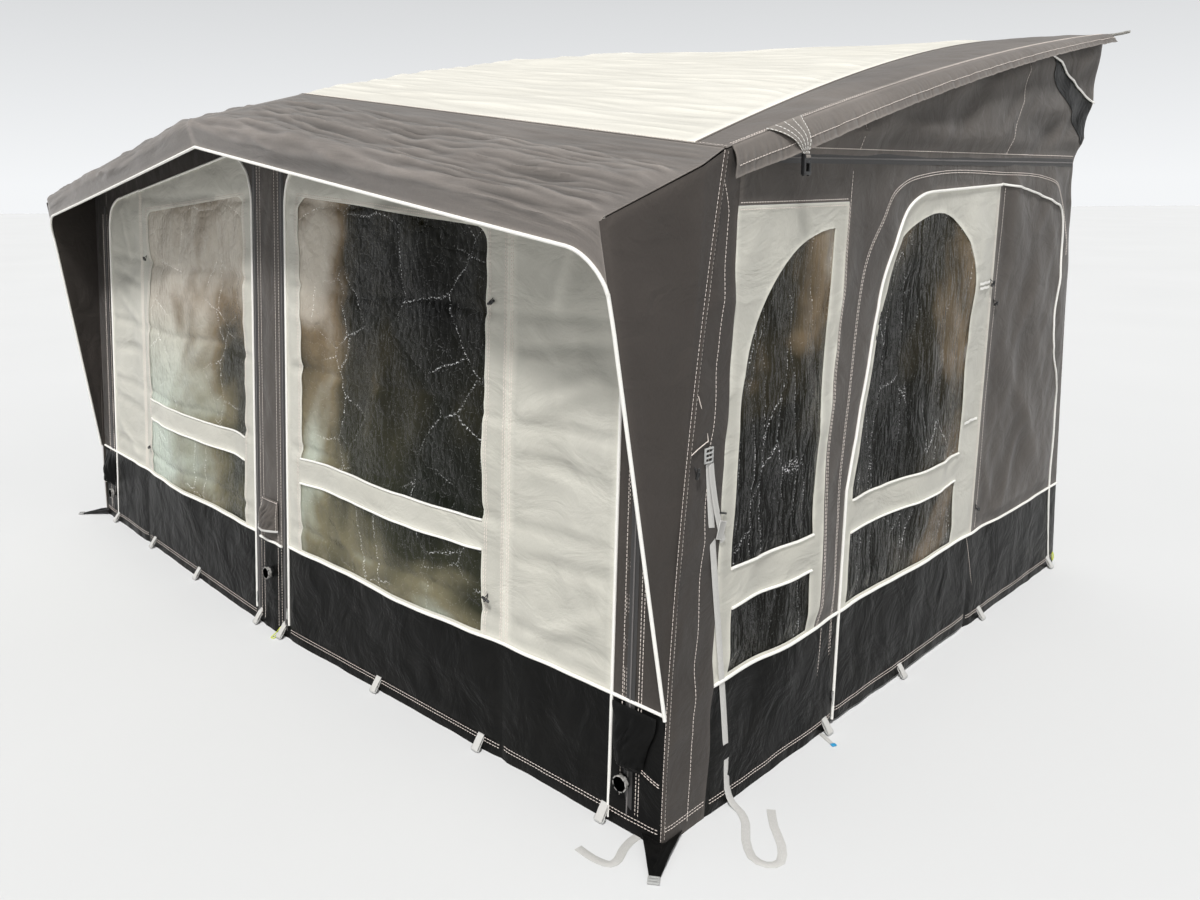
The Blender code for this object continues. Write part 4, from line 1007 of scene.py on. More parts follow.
def makeCanopy(hand, word):
    acrosses = [canopyAcross(step / canopySheet["columns"]) for step in range(canopySheet["columns"] + 1)]
    rows = [canopyLine(across) for across in acrosses]
    for point in rows[0]:
        point.x = 0.0
    downs, steps = range(len(rows[0])), canopySheet["steps"]
    spots = [[(across * shell["half"], down * canopySheet["cut"]) for down in downs] for across in acrosses]
    relief = [[canopyRelief(across, down / steps, hand) for down in downs] for across in acrosses]
    sheet = loftSheet("canopy_cloth_" + word, rows, spots, (0, -1, 1), "canopy", hand, relief=relief)
    hung(sheet, "shelter", "canopy_" + word)
    edge = [fasciaPoint(canopyAcross(step / 110)) for step in range(111)]
    piping("canopy_piping_" + word, [moved(edge, 0, -0.002, 0)], hand, radius=canopySheet["piping"])


def makeRidgeSeam(hand, word):
    # the rolled join of canopy and roof, and the joins of the bands
    half = roofHalf(shell["junction"]) - shell["cloth"]
    line = moved([onRoof(mix(0, half, step / 120), shell["junction"]) for step in range(121)], 0, 0, 0.0010)
    tubePiece("junction_seam_" + word, [line], 0.0040, "canopy", hand, flat=0.45, up=upwards)
    thread = moved(line, 0, 0.010, 0.0022)
    stitchPiece("junction_thread_" + word, [thread], upwards, hand, slot="roof_fabric")
    ys = [mix(0.19, 2.88, step / 160) for step in range(161)]
    edge = moved([onRoof(lightHalf(y), y) for y in ys], 0, 0, 0.0012)
    tubePiece("band_seam_" + word, [edge], 0.0036, "band", hand, flat=0.6, up=upwards)


makeRoof()
bothHands(makeBand, makeCanopy, makeRidgeSeam)
print("roof and canopy hung")


# Wings, corner flaps and gables

def seamHeights(steps, top):
    return [mix(shell["frontSkirt"], top, step / steps) for step in range(steps + 1)]


wingSheet = {"rows": 90, "outer": 12, "inner": 8, "wave": 0.0050}


def wingRow(share):
    foot = side(seamY(shell["frontSkirt"]) - 0.012, shell["frontSkirt"])
    eave = canopyPoint(1, 1)
    tip = Vector((shell["eaveHalf"], eave.y, eave.z - 0.0043))
    z = mix(shell["frontSkirt"], edgeUnder(seamY(shell["cornerTop"])), share)
    outer = foot.lerp(tip, share)
    inner = side(seamY(z) - seamGap, z)
    bendY = min(inner.y - shell["cloth"], front(shell["half"], z).y)
    bend = side(bendY, mix(outer.z, inner.z, (bendY - outer.y) / (inner.y - outer.y)))
    line = [outer.lerp(bend, step / wingSheet["outer"]) for step in range(wingSheet["outer"])]
    return line + [bend.lerp(inner, step / wingSheet["inner"]) for step in range(wingSheet["inner"] + 1)]


def wingRelief(share, across, hand):
    keep = fade(share, 0, 1, 0.08) * fade(across, 0, 1, 0.2)
    pull = swell(across * 0.35, share * 1.5, 0.25, 2.2, 6 + hand)
    pull += 0.4 * ridge(across * 0.3, share * 1.5, 0.12, 2.0, 2 + hand)
    return keep * wingSheet["wave"] * pull


def makeWing(hand, word):
    count = wingSheet["rows"]
    rows = [wingRow(step / count) for step in range(count + 1)]
    spots = [[(point.y, point.z) for point in row] for row in rows]
    relief = grid(count, wingSheet["outer"] + wingSheet["inner"], partial(wingRelief, hand=hand))
    sheet = loftSheet("wing_cloth_" + word, rows, spots, sideOut, "dark", hand, relief=relief)
    hung(sheet, "shelter", "wing_" + word)
    edge, low = moved([row[0] for row in rows], 0.001, -0.001, 0), fasciaPoint(1)
    line = [point for point in edge if point.z < low.z - 0.03] + [low + Vector((0, -0.002, 0))]
    line = smoothLine(line[::4] + [line[-1]], 4)
    piping("wing_piping_" + word, [line], hand, radius=canopySheet["piping"])


flapSheet = {"pitch": 0.014, "wave": 0.0070}


def flapRelief(y, z, hand):
    keep = fade(y, seamY(z), flapEdge(z) + 0.03, 0.03) * fade(z, -0.05, 1.87, 0.08)
    pull = swell(z, y, 0.12, 1.5, 12 + hand) + 0.7 * ridge(z, y, 0.16, 2.5, 3 + hand)
    return keep * flapSheet["wave"] * pull


def makeCornerFlap(hand, word):
    top, edge = edgeUnder(seamY(shell["cornerTop"])), shell["flapEdge"] - seamGap
    outline = [(seamY(z) + seamGap, z) for z in [0, 0.12, 0.25] + seamHeights(24, top)]
    outline += [(edge, edgeUnder(edge)), (edge, shell["panelTop"]), (shell["flapFoot"], 0)]
    sheet = cutSheet("corner_flap_cloth_" + word, [outline], side, partial(flapRelief, hand=hand), sideOut,
                     "dark", flapSheet["pitch"], hand)
    hung(sheet, "shelter", "corner_flap_" + word)


gableSheet = {"pitch": 0.025, "wave": 0.024, "fanFrom": (0.1, 0.05)}


def gableRelief(y, z, hand):
    # folds that fan out from the front corner
    keep = fade(y, shell["flapEdge"], shell["rearTop"], 0.12) * fade(z, shell["gutter"], edgeZ(y), 0.09)
    across, rise = y - gableSheet["fanFrom"][0], z - shell["gutter"] - gableSheet["fanFrom"][1]
    turn, reach = atan2(rise, across), sqrt(across ** 2 + rise ** 2)
    pull = swell(y + z, z - y * 0.3, 0.5, 0.5, 9 + hand)
    pull += 0.7 * ridge(turn * 1.6, reach * 0.5, 0.13, 3.0, 4 + hand)
    pull += 0.5 * ridge(y - z * 1.4, z + y * 0.3, 0.20, 2.2, 14 + hand)
    return keep * gableSheet["wave"] * pull


def makeGable(hand, word):
    start, low = shell["flapEdge"] + edgeGap, shell["gutter"] + edgeGap
    ys = [mix(shell["rearTop"], start, step / 40) for step in range(41)]
    outline = [(start, low), (shell["rearGutter"], low)] + [(y, edgeUnder(y)) for y in ys]
    sheet = cutSheet("gable_cloth_" + word, [outline], side, partial(gableRelief, hand=hand), sideOut,
                     "wall", gableSheet["pitch"], hand)
    hung(sheet, "shelter", "gable_" + word)


sleeve = {
    "steps": 620, "rows": 12, "start": 0.20, "end": 2.86, "drop": (0.082, 0.035), "out": 0.05,
    "long": 3.1, "wide": 0.085, "pucker": 0.0065,
}


def sleeveDrop(y):
    return mix(*sleeve["drop"], (y - sleeve["start"]) / (sleeve["end"] - sleeve["start"]))


def sleevePoint(y, share, hand):
    # gathered on its elastic: puckers grow towards the lower edge
    drop = sleeveDrop(y)
    out = sleeve["out"] * (0.28 + 0.72 * ease((y - sleeve["start"]) / 0.30))
    upper = Vector((roofHalf(y) + shell["cloth"] * cos(atan2(out, drop)) + shell["seam"], y, edgeZ(y)))
    point = upper.lerp(upper + Vector((out, 0, -drop)), share)
    pucker = ridge(y, share * 0.02, 0.020, 2.0, 5 + hand) * 0.6 + swell(y, 0, 0.045, 1, 9 + hand)
    curve = 0.010 * sin(pi * min(1, share * 1.1))
    gather = sleeve["pucker"] * ease(share * 1.15) * pucker * drop / sleeve["drop"][0]
    normal = Vector((drop, 0, sleeve["out"])).normalized()
    return point + normal * (curve + gather * fade(y, sleeve["start"], sleeve["end"], 0.03))


def makeSleeve(hand, word):
    def point(share, along):
        return sleevePoint(mix(sleeve["start"], sleeve["end"], along), share, hand)

    def spot(share, along):
        return along * sleeve["long"], share * sleeve["wide"]

    rows, spots = (grid(sleeve["rows"], sleeve["steps"], make) for make in (point, spot))
    hung(loftSheet("edge_flap_cloth_" + word, rows, spots, (1, 0, 1), "band", hand), "shelter",
         "edge_flap_" + word, held="gathered")
    ys = [mix(0.21, 2.85, step / 300) for step in range(301)]
    seams = [moved([sleevePoint(y, 0.70, hand) for y in ys], 0.001, 0, 0.001)]
    seams += [moved([onRoof(roofHalf(y) - inset, y) for y in ys], 0, 0, 0.001) for inset in (0.004, 0.012)]
    stitchPiece("edge_flap_thread_" + word, seams, (0.6, 0, 1), hand)


zipper = {"tape": 0.017, "flat": 0.035, "coil": 0.0021, "coilOut": 0.0008, "tickOut": 0.0018}
tick = {"long": 0.0016, "gap": 0.0014, "wide": 0.0056, "high": 0.0012}


def unbent(u, v):
    return 0.0


def zipPieces(name, lines, place, facing, hand, tapeOut=0.0010):
    # a dark tape with its coil and the ticks of the teeth, along lines on a wall
    tapes, coils = bmesh.new(), bmesh.new()
    out = mirrored(Vector(facing), hand)
    for line in lines:
        line = denser(line, 0.02)
        spots = [mirrored(point, hand) for point in onWall(line, place, unbent, tapeOut)]
        addTube(tapes, spots, zipper["tape"], 8, zipper["flat"], out)
        addTube(coils, [spot + out * zipper["coilOut"] for spot in spots], zipper["coil"], 6)
        addStitches(coils, onWall(line, place, unbent, tapeOut + zipper["tickOut"]), facing, hand, **tick)
    carried(closed(name + "_tape", tapes, "zip", 40), "shelter")
    carried(closed(name + "_coil", coils, "coil"), "shelter")


def threads(name, lines, place, relief, facing, hand, body="shelter", slot="dark_fabric", out=0.0004):
    lines = [onWall(denser(line, 0.02), place, relief, out) for line in lines]
    stitchPiece(name, lines, facing, hand, body, slot)


cornerSeams = {
    "foot": [0.02, 0.12, 0.25], "out": 0.002, "rope": 0.004, "rows": (-0.008, 0.007), "middle": 0.56,
    "middleHeights": (0.03, 0.5, 1.0, 1.4, 1.70), "middleEnd": (0.17, 1.79),
    "hem": (0.05, 0.045, 0.006, 0.010),
    "gutter": (0.26, 0.01), "gablePost": (0.835, 1.86),
    "gable": [[(1.914, 1.86), (2.038, 2.208)], [(0.26, 1.862), (2.62, 1.862)]],
}


def makeCornerSeams(hand, word):
    s, top, relief = cornerSeams, edgeUnder(seamY(shell["cornerTop"])), partial(flapRelief, hand=hand)
    seam = [(seamY(z), z) for z in s["foot"] + seamHeights(24, top)]
    tubePiece("corner_fold_" + word, [onWall(seam, side, relief, s["out"])], s["rope"], "dark", hand)
    centre = [(mix(seamY(z), flapEdge(z), s["middle"]), z) for z in s["middleHeights"]] + [s["middleEnd"]]
    at, height, inset, pitch = s["hem"]
    hem = [(seamY(at) + inset, height), (flapEdge(at) - inset, height)]
    lines = [besides(seam, offset) for offset in s["rows"]] + [centre, hem, besides(hem, pitch)]
    threads("corner_thread_" + word, lines, side, relief, sideOut, hand)
    start, inset = s["gutter"]
    gutter = [(start, shell["gutter"]), (shell["rearGutter"] - inset, shell["gutter"])]
    zipPieces("gable_zip_" + word, [gutter], side, sideOut, hand)
    y, low = s["gablePost"]
    lines = [[(y, low), (y, edgeUnder(y) - inset)]] + s["gable"]
    threads("gable_thread_" + word, lines, side, partial(gableRelief, hand=hand), sideOut, hand)


bothHands(makeWing, makeCornerFlap, makeGable, makeSleeve, makeCornerSeams)
print("corners and gables hung")


# Front wall

frontWall = {
    "pitch": 0.016, "crest": 1.938, "fall": 0.145, "cornerInner": 0.20, "cornerOuter": 0.16,
    "windowInner": 0.222, "windowOuter": 1.235, "windowCorner": 0.05, "windowTop": (1.722, 1.645),
    "barLow": 0.648, "barHigh": 0.748, "sill": 0.012, "lap": 0.012,
    "folds": (
        (1.34, 0.66, 1.76, 0.70, -0.004, 0.02), (1.34, 0.98, 1.76, 0.95, -0.005, 0.022),
        (1.34, 1.28, 1.76, 1.33, -0.004, 0.02), (1.40, 0.42, 1.75, 0.60, 0.004, 0.03),
        (1.36, 1.10, 1.70, 1.24, 0.004, 0.03), (1.50, 1.40, 1.62, 1.70, 0.004, 0.03),
    ),
}
vinyl = {"behind": 0.0040, "pitch": 0.010, "thick": 0.0008, "drape": 0.0030}
trim = {
    "out": 0.003, "round": 0.012, "level": 0.014, "sewn": 0.0004,
    "barOut": 0.0015, "bar": 0.0036, "barIn": 0.003,
}


def lightTopAt(x):
    return frontWall["crest"] - frontWall["fall"] * x


def lightTop(offset, steps=12):
    # the rounded corners of the light panel's upper edge
    inner, outer = frontWall["cornerInner"], frontWall["cornerOuter"]
    innerX, outerX = shell["columnHalf"] + inner, shell["lightOuter"] - outer
    return (arcPoints((innerX, lightTopAt(innerX) - inner), inner + offset, 180, 90, steps),
            arcPoints((outerX, lightTopAt(outerX) - outer), outer + offset, 90, 0, steps))


def frontRelief(x, z, hand):
    # soft packing folds and slack of the light panels, flat along the seams
    keep = fade(x, shell["columnHalf"], shell["lightOuter"], 0.05)
    keep *= fade(z, shell["frontSkirt"], lightTopAt(x), 0.07)
    hinge = 1 - exp(-((x - shell["hinge"]) / 0.03) ** 2)
    slackness = swell(x, z, 0.30, 0.7, 20 + hand) + 0.45 * ridge(x, z + x * 0.25, 0.21, 0.6, 24 + hand)
    folds = creases(x, z, frontWall["folds"])
    packed = exp(-((z + 0.03 * swell(x, 0, 0.5, 1, 6 + hand)) % 0.31 - 0.155) ** 2 / 0.0003)
    return keep * hinge * (0.0100 * slackness + 2.6 * folds - 0.0080 * packed)


def boxed(left, right, low, high):
    return [(left, low), (right, low), (right, high), (left, high)]


def frontWindow():
    corner, high = frontWall["windowCorner"], frontWall["barHigh"]
    inner, outer = frontWall["windowInner"], frontWall["windowOuter"]
    upper = [(inner, high), (outer, high)]
    upper += arcPoints((outer - corner, frontWall["windowTop"][1] - corner), corner, 0, 90, 6)
    upper += arcPoints((inner + corner, frontWall["windowTop"][0] - corner), corner, 90, 180, 6)
    return upper, boxed(inner, outer, shell["frontSkirt"] + frontWall["sill"], frontWall["barLow"])


def behind(relief, low, high, left, right, seed):
    # the relief of a window's vinyl, sewn behind its wall and loose between its edges
    def draped(u, v):
        keep = fade(u, left, right, 0.04) * fade(v, low, high, 0.04)
        drape = swell(u, v, 0.16, 1.8, seed) + 0.5 * ridge(u, v, 0.09, 2.2, seed + 3)
        drape += 0.3 * ridge(u + v * 0.5, v, 0.045, 1.6, seed + 5)
        return relief(u, v) - vinyl["behind"] + keep * vinyl["drape"] * drape

    return draped


def hungVinyl(name, body, node, outline, place, relief, facing, material, hand):
    sheet = cutSheet(name, [outline], place, relief, facing, material, vinyl["pitch"], hand, vinyl["thick"])
    hung(sheet, body, node)


def skirtRelief(u, z, low, high, start, end, seed):
    # coated cloth in soft swags and hard creases, loose towards the ground
    loose = 1 - (z - low) / (high - low)
    keep = fade(u, start, end, 0.035)
    swag = ridge(u + z * 0.6, z, 0.17, 0.9, seed) + 0.7 * ridge(u - z * 0.9, z, 0.12, 1.1, seed + 4)
    puff = 0.5 + 0.5 * swell(u, z, 0.22, 1.6, seed + 9)
    swag *= (0.35 + 0.65 * loose) * fade(z, low - 0.05, high, 0.05)
    return keep * (0.0055 * loose * puff + 0.0028 * swag)


def hungSkirt(name, body, nodes, place, start, end, low, high, facing, hand, seed, pitch=0.015):
    # a skirt between two lines that give their place for each height
    widest = max(end(high) - start(high), end(low) - start(low))

    def spot(rise, across):
        z = mix(low, high, rise)
        return mix(start(z), end(z), across), z

    def folded(u, z):
        return place(u, z, skirtRelief(u, z, low, high, start(z), end(z), seed))

    spots = grid(ceil((high - low) / pitch), ceil(widest / pitch), spot)
    hung(loftSheet(name, onEach(spots, folded), spots, facing, "skirt", hand), body, *nodes, held="hung")


def always(value):
    return lambda z: value


def laid(lines, place, relief, out):
    return [onWall(line, place, relief, out) for line in lines]


def levelLine(left, right, height, pitch=trim["level"]):
    return denser([(left, height), (right, height)], pitch)


def barLines(left, right, high, low):
    # just inside a window bar's two edges
    return [levelLine(left, right, height) for height in (high - trim["barIn"], low + trim["barIn"])]


def upright(u, low, high, pitch=0.02):
    return twoRows(denser([(u, low), (u, high)], pitch))


def makeFrontDoor(hand, word):
    w, body, seed, relief = frontWall, "front_door_" + word, 30 + 5 * hand, partial(frontRelief, hand=hand)
    low, hinge, lap = shell["frontSkirt"] + edgeGap, shell["hinge"] - edgeGap, w["lap"]
    start, inner, outer = shell["columnHalf"] + edgeGap, w["windowInner"], w["windowOuter"]
    outline = [(start, low)] + lightTop(-seamGap)[0] + [(hinge, lightTopAt(hinge)), (hinge, low)]
    loops = [outline, *frontWindow()]
    sheet = cutSheet(body + "_cloth", loops, front, relief, frontOut, "light", w["pitch"], hand)
    hung(sheet, body, body + "_panel")
    left, right = inner - lap, outer + lap
    topInner, topOuter = (top + lap for top in w["windowTop"])
    pane = [(left, low), (right, low), (right, topOuter), (left, topInner)]
    hungVinyl(body + "_vinyl", body, body + "_window", pane, front,
              behind(relief, low, topOuter, left, right, seed), frontOut, "clear", hand)
    hungSkirt(body + "_skirt_cloth", body, [body + "_skirt"], front, always(start), always(hinge),
              shell["threshold"] + edgeGap, shell["frontSkirt"] - edgeGap, frontOut, hand, seed)
    # piping round the door's zip, along the skirt and on the window bar
    zipLine = [(shell["columnHalf"] + 0.003, shell["threshold"] + 0.004)] + lightTop(-trim["out"])[0]
    zipLine = denser(zipLine + [(hinge - 0.002, lightTopAt(hinge) - 0.003)], trim["round"])
    skirtLine = levelLine(shell["columnHalf"] + 0.006, hinge, shell["frontSkirt"])
    piping(body + "_piping", laid((zipLine, skirtLine), front, relief, trim["out"]), hand, body)
    bars = barLines(inner, outer, w["barHigh"], w["barLow"])
    piping(body + "_bar_piping", laid(bars, front, relief, trim["barOut"]), hand, body, trim["bar"])
    seams = upright(hinge - 0.012, low, lightTopAt(hinge) - 0.02)
    frame = [(left - 0.002, low), (left - 0.002, topInner), (right + 0.002, topOuter), (right + 0.002, low)]
    seams += twoRows(denser(frame, 0.02))
    stitchPiece(body + "_thread", laid(seams, front, relief, trim["sewn"]), frontOut, hand, body)


def cornerEdge(z):
    return sideX(z) - shell["cloth"] - shell["seam"]


def surroundRelief(x, z, hand):
    keep = fade(x, shell["lightOuter"], 2.0, 0.05) + fade(z, lightTopAt(x), 2.2, 0.05)
    return min(1, keep) * 0.003 * ridge(z, x, 0.15, 0.5, 40 + hand) * fade(x, 0.125, 1.98, 0.03)


surroundSheet = {"pitch": 0.018, "rise": 0.0078, "steps": 30, "strip": (3.4, 0.19)}


def surroundLine():
    # round the light panel, then back along the canopy
    low, start, steps = shell["frontSkirt"] + edgeGap, shell["columnHalf"] + edgeGap, surroundSheet["steps"]
    innerArc, outerArc = lightTop(seamGap)
    line = [(start, innerArc[0][1] + surroundSheet["rise"])] + innerArc[1:] + outerArc
    line += [(shell["lightOuter"] + edgeGap, low), (cornerEdge(low), low)]
    for step in range(steps + 1):
        x = mix(cornerEdge(shell["cornerTop"] - shell["cloth"]), start, step / steps)
        z = underCanopy(x, front(x, lightTopAt(x)).y + shell["cloth"])
        line.append((min(x, cornerEdge(z)), z))
    return line


def makeFrontFixed(hand, word):
    relief, outer, seed = partial(frontRelief, hand=hand), shell["lightOuter"], 50 + 5 * hand
    low, hinge = shell["frontSkirt"] + edgeGap, shell["hinge"] + edgeGap
    _, arc = lightTop(-seamGap)
    outline = [(hinge, low), (hinge, lightTopAt(hinge))] + arc + [(outer - edgeGap, low)]
    sheet = cutSheet("front_strip_cloth_" + word, [outline], front, relief, frontOut, "light",
                     frontWall["pitch"], hand)
    hung(sheet, "shelter", "front_strip_" + word)
    folds = partial(surroundRelief, hand=hand)
    sheet = cutSheet("front_surround_cloth_" + word, [surroundLine()], front, folds, frontOut, "dark",
                     surroundSheet["pitch"], hand)
    hung(sheet, "shelter", "front_surround_" + word, strip=surroundSheet["strip"])
    # corner skirt with the threshold that runs on under the door
    hungSkirt("corner_skirt_cloth_" + word, "shelter", ["corner_skirt_" + word], front, always(hinge),
              cornerEdge, 0.0, shell["frontSkirt"] - edgeGap, frontOut, hand, seed)
    hungSkirt("threshold_cloth_" + word, "shelter", (), front, always(shell["columnHalf"] + edgeGap),
              always(hinge - edgeGap), 0.0, shell["threshold"] - edgeGap, frontOut, hand, seed + 2)
    edge = [(outer, 0.01), (outer, arc[-1][1])] + list(reversed(arc)) + [(hinge, lightTopAt(hinge))]
    skirtLine = levelLine(hinge, cornerEdge(shell["frontSkirt"]) - 0.004, shell["frontSkirt"])
    lines = laid((denser(edge, trim["round"]), skirtLine), front, relief, trim["out"])
    piping("front_strip_piping_" + word, lines, hand)
    seams = upright(hinge + 0.012, low, lightTopAt(hinge) - 0.02)
    seams += upright(outer + 0.045, low, 1.75, 0.03)
    stitchPiece("front_strip_thread_" + word, laid(seams, front, relief, trim["sewn"]), frontOut, hand)


column = {
    "rows": 90, "columns": 20, "skirtRows": 16, "top": 2.075, "run": 0.0142, "wave": 0.004,
    "pipingHalf": 0.092,
}


def columnPoint(rise, across):
    # flat where the sliders run
    half = shell["columnHalf"] - edgeGap
    x, flatFrom = mix(-half, half, across), half - column["run"]
    z = mix(0, underCanopy(x, front(x, column["top"]).y + shell["cloth"]), rise)
    return front(x, z, fade(x, -flatFrom, flatFrom, 0.03) * column["wave"] * ridge(z, x, 0.18, 0.4, 60))


def makeColumn():
    rows, low = grid(column["rows"], column["columns"], columnPoint), column["skirtRows"]
    spots = [[(point.x, point.z) for point in row] for row in rows]
    sheet = loftSheet("center_column_cloth", rows[low:], spots[low:], frontOut, "wall")
    hung(sheet, "shelter", "center_column")
    sheet = loftSheet("column_skirt_cloth", rows[:low + 1], spots[:low + 1], frontOut, "skirt")
    hung(sheet, "shelter")
    line = [point + Vector((0, -trim["out"], 0.0025 * swell(point.x, 0, 0.07, 1, 5)))
            for point in rows[low] if abs(point.x) < column["pipingHalf"]]
    piping("column_skirt_piping", [line])


frontZips = {
    "foot": 0.03, "outer": (0.066, 1.66), "inner": (0.021, 1.98),
    "outerRows": (0.038, 0.094, 0.104), "outerTop": 1.62, "innerRows": (0.055, 0.080), "innerTop": 1.99,
}


def makeFrontTrim(hand, word):
    # the zips beside the corner and the column, between rows of stitches
    outer, foot = shell["lightOuter"], frontZips["foot"]
    (away, top), (inset, innerTop) = frontZips["outer"], frontZips["inner"]
    inner = shell["columnHalf"] - inset
    zips = [[(outer + away, foot), (outer + away, top)], [(inner, foot), (inner, innerTop)]]
    zipPieces("front_zip_" + word, zips, front, frontOut, hand, trim["out"])
    places = [(outer + offset, frontZips["outerTop"]) for offset in frontZips["outerRows"]]
    places += [(x, frontZips["innerTop"]) for x in frontZips["innerRows"]]
    rows = [[(x, foot), (x, high)] for x, high in places]
    threads("front_zip_thread_" + word, rows, front, unbent, frontOut, hand, out=trim["out"])


bothHands(makeFrontDoor, makeFrontFixed)
makeColumn()
bothHands(makeFrontTrim)
print("front wall hung")


# Side walls

sideWall = {
    "pitch": 0.016, "rearLow": 0.725, "rearHigh": 0.80, "windowFront": 0.285, "windowRear": (0.672, 0.727),
    "windowTop": 1.635, "shoulder": 1.16, "barLow": 0.60, "barHigh": 0.72, "barEnd": 0.1,
    "doorFront": 0.885, "hinge": 1.90, "knee": 0.80, "shoulderSet": 0.225, "doorShoulder": 1.60,
    "bendAcross": 0.62, "bendUp": 0.75, "crown": 0.45, "topFront": 1.735, "topRear": 1.753, "stile": 0.05,
    "rail": 0.075, "windowEnd": 1.713, "doorBarLow": 0.648, "doorBarHigh": 0.762, "arched": 8,
}


def doorEdge(offset, steps=14):
    w = sideWall
    shoulder = w["doorFront"] + w["shoulderSet"]
    start = (w["doorFront"] + w["shoulderSet"] * w["bendAcross"],
             mix(w["knee"], w["doorShoulder"], w["bendUp"]))
    end, top = shoulder + w["shoulderSet"], w["topFront"]
    lean = atan2(start[0] - w["doorFront"], start[1] - w["knee"])
    points = [(w["doorFront"] - offset, w["knee"])]
    for step in range(steps + 1):
        share = step / steps
        u = mix(mix(start[0], shoulder, share), mix(shoulder, end, share), share)
        v = mix(mix(start[1], top, share), top, share)
        angle = mix(pi - lean, pi / 2, share)
        points.append((u + offset * cos(angle), v + offset * sin(angle)))
    return points


def sideDoorWindow():
    # up the stile, over the crown and down the hinge side
    w, bend = sideWall, sideWall["arched"]
    edge = doorEdge(-w["stile"])
    start, last = edge[0][0], edge[bend - 1]
    crown, top = mix(last[0], w["windowEnd"], w["crown"]), w["topFront"] - w["rail"]
    upper = [(start, w["doorBarHigh"])] + edge[:bend]
    for step in range(1, bend + 1):
        share = step / bend
        upper.append((mix(last[0], crown, share), mix(last[1], top, sin(share * pi / 2))))
    radius = w["windowEnd"] - crown
    upper += arcPoints((crown, top - radius), radius, 90, 0, 12)[1:] + [(w["windowEnd"], w["doorBarHigh"])]
    return upper, boxed(start, w["windowEnd"], shell["sideSkirt"] + frontWall["sill"], w["doorBarLow"])


def sideWindow():
    w = sideWall
    rise, run = w["windowTop"] - w["shoulder"], w["windowRear"][1] - w["windowFront"]
    upper = [(w["windowFront"], w["barHigh"])]
    for step in range(19):
        angle = mix(pi, pi / 2, step / 18)
        upper.append((w["windowFront"] + run * (1 + cos(angle)), w["shoulder"] + rise * sin(angle)))
    upper.append((mix(*w["windowRear"], w["barEnd"]), w["barHigh"]))
    low = shell["sideSkirt"] + frontWall["sill"]
    return upper, boxed(w["windowFront"], w["windowRear"][0], low, w["barLow"])


def sideRelief(y, z, hand):
    keep = fade(z, shell["sideSkirt"], shell["gutter"], 0.08) * fade(y, 0.22, 2.72, 0.08)
    seam = 1 - exp(-((y - sideWall["doorFront"]) / 0.06) ** 2) - exp(-((y - sideWall["hinge"]) / 0.05) ** 2)
    pull = swell(y, z, 0.20, 1.5, 70 + hand) + 0.6 * ridge(y - z * 0.4, z, 0.17, 1.6, 74 + hand)
    rear = ridge(y + z * 0.55, z, 0.22, 3.0, 78 + hand) + 0.6 * ridge(y - z * 0.3, z, 0.13, 3.5, 79 + hand)
    rear = ease((y - 1.92) / 0.1) * rear
    return keep * (max(0.0, seam) * 0.0100 * pull + 0.012 * rear * fade(y, 1.92, 2.78, 0.08))


def sidePiping(name, lines, bars, ends, relief, hand, body, bar=trim["bar"]):
    # the round piping of the edges, and the thinner one on both sides of the window bar
    bars = barLines(*ends, *bars)
    piping(name[0], laid(lines, side, relief, trim["out"]), hand, body)
    piping(name[1], laid(bars, side, relief, trim["barOut"]), hand, body, bar)


def makeSideDoor(hand, word):
    w, body, seed, relief = sideWall, "side_door_" + word, 80 + 5 * hand, partial(sideRelief, hand=hand)
    low, skirt, lap = shell["sideSkirt"] + edgeGap, shell["sideSkirt"], frontWall["lap"]
    start, hinge, end = w["doorFront"] + edgeGap, w["hinge"] - edgeGap, w["windowEnd"] + lap
    upper, lower = sideDoorWindow()
    outline = [(start, low)] + doorEdge(-edgeGap) + [(hinge, w["topRear"] - edgeGap), (hinge, low)]
    loops = [outline, upper, lower]
    sheet = cutSheet(body + "_cloth", loops, side, relief, sideOut, "light", w["pitch"], hand)
    hung(sheet, body, body + "_panel")
    pane = [(upper[0][0] - lap, low), (end, low), (end, upper[-2][1] + lap)]
    pane += [(u + lap / 2, v + lap) for u, v in reversed(upper[9:-2])]
    pane += [(u - lap / 2, v + lap / 2) for u, v in reversed(upper[1:9])]
    hungVinyl(body + "_vinyl", body, body + "_window", pane, side, behind(relief, low, 1.67, 0.94, end, seed),
              sideOut, "clearSide", hand)
    hungSkirt(body + "_skirt_cloth", body, [body + "_skirt"], side, always(start), always(hinge),
              shell["groundGap"], skirt - edgeGap, sideOut, hand, seed)
    zipLine = [(w["doorFront"] + trim["out"], z) for z in (0.02, w["knee"])] + doorEdge(-trim["out"])[1:]
    zipLine = denser(zipLine + [(hinge - 0.002, w["topRear"] - 0.003)], trim["round"])
    lines = (zipLine, levelLine(w["doorFront"] + 0.006, hinge, skirt))
    sidePiping((body + "_piping", body + "_bar_piping"), lines, (w["doorBarHigh"], w["doorBarLow"]),
               (upper[0][0], w["windowEnd"]), relief, hand, body)
    seams = upright(hinge - 0.015, low, 1.70)
    stitchPiece(body + "_thread", laid(seams, side, relief, trim["sewn"]), sideOut, hand, body)


def flapSide(z):
    return flapEdge(z) + seamGap


